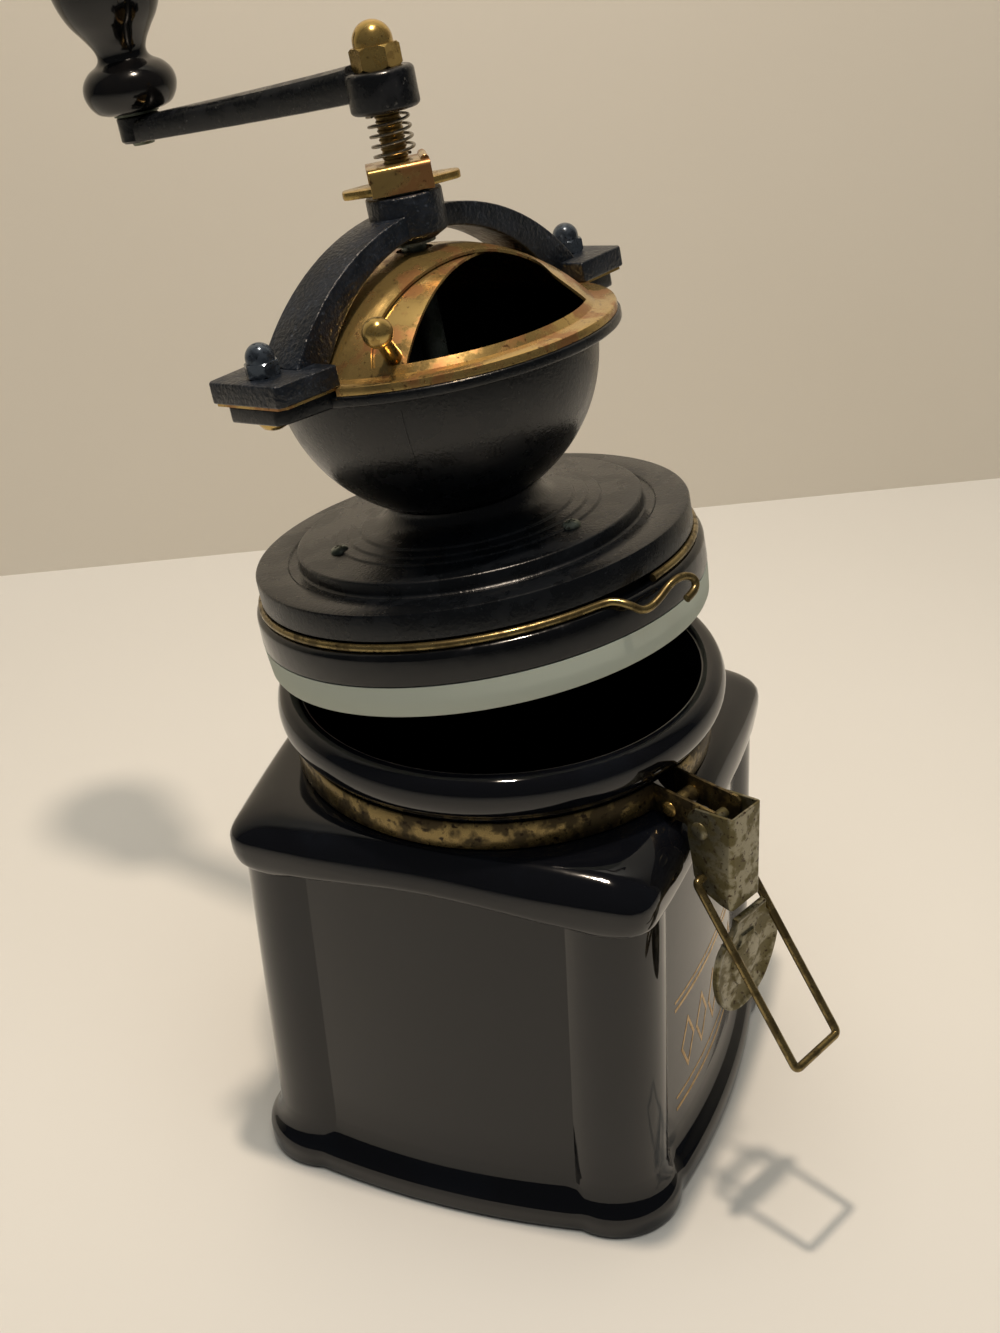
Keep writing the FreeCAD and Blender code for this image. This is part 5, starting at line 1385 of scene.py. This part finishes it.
    def bolt(self) -> Mesh:
        """Domed head under the bowl's ear with its shank."""
        profile = [
            (0.0, 198.2), (1.6, 198.3), (2.8, 198.9), (3.5, 199.9), (3.7, 200.89), (2.0, 200.89),
            (2.0, 212.9), (0.0, 212.9)
        ]
        return spun(profile, 40)

    def build(self) -> None:
        """Make the hopper cover, door, yoke and their fastenings."""
        place_piece(
            "cover_pressed", self.cover(), LID, PRESSED_BRASS, Body.LID, ["hopper_cover"]
        )
        place_piece("door_pressed", self.door(), LID, PRESSED_BRASS, Body.DOOR, ["hopper_door"])
        place_piece(
            "door_knob_turned", self.door_knob(), self.knob_frame(), TURNED_BRASS, Body.DOOR,
            ["door_knob"]
        )
        place_piece("yoke_painted", self.yoke(), LID, SAND_IRON, Body.LID, ["yoke"])
        for side, name in ((-1, "left"), (1, "right")):
            place = LID @ Matrix.Translation((side * self.bolt_x, 0, 0))
            nut = cap_nut(7.0, 210.31, 3.2, 3.2)
            place_piece(
                f"ear_nut_capped_{name}", nut, place, BLUED_STEEL_AND_SHEEN, Body.LID, [f"ear_nut_{name}"]
            )
            place_piece(
                f"ear_bolt_domed_{name}", self.bolt(), place, TURNED_BRASS, Body.LID,
                [f"ear_bolt_{name}"]
            )


# Shaft line


@dataclass
class ShaftLine:
    """Everything on the shaft: thread, wing plate, clip, spring, crank, cap nut and knob."""

    crank_turn: float = 97.0
    reach: float = 80.3
    wing_turn: float = 140.0
    spring_top: float = 255.66

    def thread(self) -> Mesh:
        """Threaded upper length of the shaft, between boss and crank."""
        core = 2.72
        profile = [(0.0, 236.0), (core, 236.0)]
        pitch = 1.0
        height = 236.2
        while height < 268.0:
            profile += [
                (core, height), (3.0, height + pitch * 0.35), (3.0, height + pitch * 0.5),
                (core, height + pitch * 0.85)
            ]
            height += pitch
        profile += [(2.2, 269.4), (0.0, 269.4)]
        return spun(profile, 40)

    def wings(self) -> Mesh:
        """Wing plate with its hub."""
        side = [
            (-13.6, 0.0), (-13.5, -1.6), (-12.8, -2.6), (-9.4, -4.0), (-6.0, -5.3), (6.0, -5.3), (9.4, -4.0)
        ]
        side += [(12.8, -2.6), (13.5, -1.6), (13.6, 0.0)]
        outline = side + [(x, -y) for x, y in reversed(side[1:-1])]
        blade = soften(plate(outline, 238.41, 240.2), 0.3, 2, 50)
        hub = spun([(3.04, 238.41), (5.0, 238.41), (5.0, 243.5), (4.7, 243.86), (3.04, 243.86)], 48)
        return joined([blade, hub])

    def clip(self) -> Mesh:
        """Folded clip with rounded bends and a rolled end."""
        skirt = 6.9
        half = [(skirt, 238.2), (skirt, 243.1)]
        half += arc(skirt - 1.4, 243.1, 1.4, 10, 90, 6)
        inner = arc(skirt - 1.4, 243.1, 0.8, 90, 10, 5) + [(skirt - 0.6, 238.2)]
        outline = half + [(-y, z) for y, z in reversed(half)] + [(-y, z) for y, z in reversed(inner)] + inner
        body = moved(plate(outline, -7.1, 7.1), DRAWN_YZ)
        hole = spun([(0.0, 240.0), (3.1, 240.0), (3.1, 250.0), (0.0, 250.0)], 32)
        body = carved(body, [hole])
        roll = arc(-6.1, 244.4, 1.0, 0, 180, 10) + [(-7.1, 243.9), (-5.1, 243.9)]
        end = moved(plate(roll, -5.2, 5.2), DRAWN_XZ)
        return soften(joined([body, end]), 0.1, 1, 50)

    def spring(self) -> Mesh:
        """Wound spring of four and a half turns."""
        radius, turns, low, high = 4.7, 4.5, 245.4, self.spring_top - 0.36
        steps = 24
        path = []
        for step in range(int(turns * steps) + 1):
            turn = 2 * math.pi * step / steps
            height = low + (high - low) * step / (turns * steps)
            path.append(Vector((radius * math.cos(turn), radius * math.sin(turn), height)))
        return wire(path, 0.36, sides=3)

    def arm(self) -> Mesh:
        """Forged arm with hub, crowned and tapering bar and end boss."""
        rings = []
        for step in range(25):
            share = step / 24
            x = 4.0 + (self.reach - 5.0) * share
            width = 5.4 + (4.7 - 5.4) * share
            low = 258.6 + (254.8 - 258.6) * share**0.85
            high = 266.8 + (260.7 - 266.8) * share**0.85
            rings.append(self.arm_section(x, width, low, high))
        room = spun([(0.0, 264.8), (7.3, 264.8), (7.3, 280.0), (0.0, 280.0)], 64)
        bar = carved(lofted(rings), [room])
        hub = spun([(0.0, 255.7), (7.2, 255.7), (7.93, 256.4), (7.93, 264.0), (7.2, 264.8), (0.0, 264.8)], 64)
        end = spun([(0.0, 254.8), (4.7, 254.8), (5.3, 255.4), (5.3, 260.8), (4.8, 261.3), (0.0, 261.3)], 48)
        return joined([bar, soften(hub, 0.4, 2, 30), moved(end, Matrix.Translation((self.reach, 0, 0)))])

    def arm_section(self, x: float, width: float, low: float, high: float) -> list[Vector]:
        """Section of the bar: flat below, rounded edges, crowned top."""
        tall = high - low
        shape = [
            (-0.8, 0.0), (0.8, 0.0), (0.95, 0.03), (1.0, 0.12), (1.0, 0.66), (0.96, 0.8), (0.82, 0.92),
            (0.5, 0.985),
            (0.0, 1.0), (-0.5, 0.985), (-0.82, 0.92), (-0.96, 0.8), (-1.0, 0.66), (-1.0, 0.12), (-0.95, 0.03),
        ]
        return [Vector((x, width * a, low + tall * b)) for a, b in shape]

    def knob(self) -> Mesh:
        """Turned knob: base ring, waist and egg, bored for its pin."""
        base = 262.0
        rows = smooth_row(
            [
                (7.4, 0.0), (9.4, 0.9), (11.0, 3.2), (11.6, 5.8), (11.0, 8.4), (9.2, 10.6), (6.9, 12.0),
                (6.1, 13.6),
                (6.7, 15.8), (8.6, 18.8), (10.8, 21.9), (12.6, 26.0), (13.7, 31.0), (14.2, 35.6),
                (13.6, 39.6),
                (11.6, 43.2), (8.6, 45.6), (5.4, 46.5),
            ],
            4,
        )
        profile = [(2.5, base)] + [(radius, base + height) for radius, height in rows]
        profile += [(4.9, base + 46.1), (4.9, base + 41.9), (2.5, base + 41.9)]
        return spun(profile, 96)

    def build(self) -> None:
        """Make the pieces on the shaft."""
        plain = spun(
            [(0.0, 133.7), (2.2, 133.7), (3.0, 134.5), (3.0, 235.6), (2.72, 236.01), (0.0, 236.01)], 48
        )
        place_piece("shaft_plain", plain, LID, OILED_STEEL, Body.SPINDLE, ["shaft"])
        place_piece("shaft_thread", self.thread(), LID, THREAD_BRASS, Body.SPINDLE)
        washer = [(3.05, 237.61), (5.9, 237.61), (6.1, 237.8), (6.1, 238.2), (5.9, 238.39), (3.05, 238.39)]
        place_piece(
            "washer_turned", spun(washer, 48), LID, OILED_STEEL, Body.CARRIER, ["thrust_washer"]
        )
        place_piece(
            "wing_plate", self.wings(), LID @ turned(self.wing_turn), TURNED_BRASS, Body.NUT, [
                "adjusting_nut"
            ]
        )
        place_piece(
            "clip_folded", self.clip(), LID @ turned(self.wing_turn), PRESSED_BRASS, Body.CLIP, [
                "locking_clip"
            ]
        )
        wound = place_piece(
            "spring_wound", self.spring(), LID, SPRING_WIRE, Body.SPINDLE, ["spring"]
        )
        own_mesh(wound)
        place_piece(
            "crank_forged", self.arm(), LID @ turned(self.crank_turn), FORGED_IRON, Body.SPINDLE, [
                "crank_arm"
            ]
        )
        nut = cap_nut(10.0, 264.81, 5.1, 4.55)
        place_piece(
            "crank_nut_capped", nut, LID @ turned(12.0), TURNED_BRASS, Body.SPINDLE,
            ["crank_nut"]
        )
        handle = LID @ turned(self.crank_turn) @ Matrix.Translation((self.reach, 0, 0))
        place_piece("knob_turned", self.knob(), handle, LACQUERED_WOOD, Body.KNOB, ["knob"])


class Inner(Enum):
    """Carried-over nodes with their finish."""

    BOSS_BUSH = ("boss_bush", OILED_STEEL)
    OUTER_BURR = ("outer_burr", GROUND_IRON)
    INNER_BURR = ("inner_burr", GROUND_IRON)
    BRIDGE = ("bearing_bridge", PAINTED_IRON)
    BRIDGE_SCREW_LEFT = ("bridge_screw_left", OILED_STEEL)
    BRIDGE_SCREW_RIGHT = ("bridge_screw_right", OILED_STEEL)
    KNOB_PIN = ("knob_pin", OILED_STEEL)
    KNOB_WASHER = ("knob_washer", OILED_STEEL)


# Stage, lights and camera


@dataclass
class Studio:
    """Pale table and wall, lamp, soft sky and the camera of the photograph."""

    azimuth: float = -67.675
    elevation: float = 30.152
    roll: float = -3.482
    distance: float = 472.35
    aim_side: float = -0.12
    aim_height: float = 129.26
    focal_px: float = 1883.26
    frame_px: float = 1333.0
    wall_left: tuple[float, float] = (220.9, 323.2)
    wall_right: tuple[float, float] = (425.2, -75.2)
    wall_reach: float = 2500.0
    wall_height: float = 2600.0
    table_depth: float = 3500.0
    table_level: float = -0.05
    lamp_at: tuple[float, float, float] = (-39.0, -21.0, 803.0)
    lit_height: float = 100.0

    def camera(self) -> None:
        """Put the camera where the photograph was taken from."""
        az, el, roll = (math.radians(v) for v in (self.azimuth, self.elevation, self.roll))
        forward = -Vector((math.sin(az) * math.cos(el), -math.cos(az) * math.cos(el), math.sin(el)))
        right = forward.cross(Vector((0, 0, 1))).normalized()
        up = right.cross(forward)
        right_rolled = right * math.cos(roll) + up * math.sin(roll)
        up_rolled = up * math.cos(roll) - right * math.sin(roll)
        target = Vector((0, 0, self.aim_height)) + right * self.aim_side
        data = bpy.data.cameras.new("photo_camera")
        data.sensor_width = 36.0
        data.lens = self.focal_px * data.sensor_width / self.frame_px
        data.clip_start = 0.01
        camera = bpy.data.objects.new("photo_camera", data)
        turn = Matrix((right_rolled, up_rolled, -forward)).transposed().to_4x4()
        camera.matrix_world = Matrix.Translation((target - forward * self.distance) * MM) @ turn
        bpy.context.scene.collection.objects.link(camera)
        bpy.context.scene.camera = camera

    def paper(self, name: str, colour: str, second: str) -> bpy.types.Material:
        """Pale matt surface with faint cloudiness, clear from behind so that it hides no view from the back."""
        made = bpy.data.materials.new(name)
        tree = cleared_tree(made)
        place = add_node(tree, "ShaderNodeTexCoord", {}, {}).outputs["Object"]
        cloud = add_node(tree, "ShaderNodeTexNoise", {}, {"Vector": place, "Scale": 4.0, "Detail": 2.0}).outputs[
            0
        ]
        inputs = {"Base Color": mixed_colour(tree, cloud, linear(colour), linear(second)), "Roughness": 0.6}
        shader = add_node(tree, "ShaderNodeBsdfPrincipled", {}, inputs)
        behind = add_node(tree, "ShaderNodeNewGeometry", {}, {}).outputs["Backfacing"]
        clear = add_node(tree, "ShaderNodeBsdfTransparent", {}, {})
        sides = {0: behind, 1: shader.outputs[0], 2: clear.outputs[0]}
        sided = add_node(tree, "ShaderNodeMixShader", {}, sides)
        add_node(tree, "ShaderNodeOutputMaterial", {}, {"Surface": sided.outputs[0]})
        return made

    def sheet(self, name: str, corners: Sequence[Point], material: bpy.types.Material) -> None:
        """Flat stage surface through four corners."""
        bm = bmesh.new()
        bm.faces.new([bm.verts.new(Vector(corner) * MM) for corner in corners])
        mesh = bpy.data.meshes.new(name)
        bm.to_mesh(mesh)
        bm.free()
        mesh.materials.append(material)
        obj = bpy.data.objects.new(name, mesh)
        bpy.context.scene.collection.objects.link(obj)

    def stage(self) -> None:
        """Table top and the wall behind it."""
        left, right = Vector(self.wall_left), Vector(self.wall_right)
        along = (right - left).normalized()
        away = Vector((-along.y, along.x))
        if away.dot(Vector((1, 0))) < 0:
            away = -away
        far_left, far_right = left - along * self.wall_reach, right + along * self.wall_reach
        near_left, near_right = far_left - away * self.table_depth, far_right - away * self.table_depth
        table = self.paper("table_paint", "#e6e3dd", "#dfdbd3")
        wall = self.paper("wall_paint", "#e8e2d6", "#e0d9cb")
        floor = [(*point, self.table_level) for point in (near_left, near_right, far_right, far_left)]
        self.sheet("table_top", floor, table)
        low, high = self.table_level, self.wall_height
        back = [(*far_left, low), (*far_right, low), (*far_right, high), (*far_left, high)]
        self.sheet("wall_back", back, wall)

    def area(self, name: str, at: Point, size: float, watts: float, tint: str, mirrored: bool = True) -> None:
        """Round lamp that looks at the object.

        Args:
            name: Name of the lamp.
            at: Its place in millimetres.
            size: Its diameter.
            watts: Its power.
            tint: Its colour.
            mirrored: Whether it shows in glossy surfaces.
        """
        data = bpy.data.lights.new(name, "AREA")
        data.shape = "DISK"
        data.size = size * MM
        data.energy = watts
        data.color = linear(tint)[:3]
        lamp = bpy.data.objects.new(name, data)
        lamp.visible_glossy = mirrored
        direction = Vector((0, 0, self.lit_height)) - Vector(at)
        aim = direction.to_track_quat("-Z", "Y").to_matrix().to_4x4()
        lamp.matrix_world = Matrix.Translation(Vector(at) * MM) @ aim
        bpy.context.scene.collection.objects.link(lamp)

    def lights(self) -> None:
        """Small ceiling lamp, the broad light that the ceiling throws back, and a soft sky."""
        self.area("ceiling_lamp", self.lamp_at, 36, 3.1, "#ffecd6")
        self.area("ceiling_bounce", (-250, -150, 1700), 1500, 14.8, "#fdfdf8", False)
        world = bpy.data.worlds.new("soft_sky")
        tree = cleared_tree(world)
        sky = add_node(tree, "ShaderNodeBackground", {}, {"Color": linear("#e6e8ec"), "Strength": 0.06})
        add_node(tree, "ShaderNodeOutputWorld", {}, {"Surface": sky.outputs[0]})
        bpy.context.scene.world = world

    def build(self) -> None:
        """Set the stage."""
        self.camera()
        self.stage()
        self.lights()
        bpy.context.scene.view_settings.view_transform = "Standard"


def main() -> None:
    """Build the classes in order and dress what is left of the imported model."""
    logging.basicConfig(level=logging.INFO, format="%(message)s")
    Studio().build()
    Canister().build()
    NeckClamp().build()
    LidPlates().build()
    Hopper().build()
    ShaftLine().build()
    for part in Inner:
        node, finish = part.value
        dress_node(node, finish)


if __name__ == "__main__":
    main()
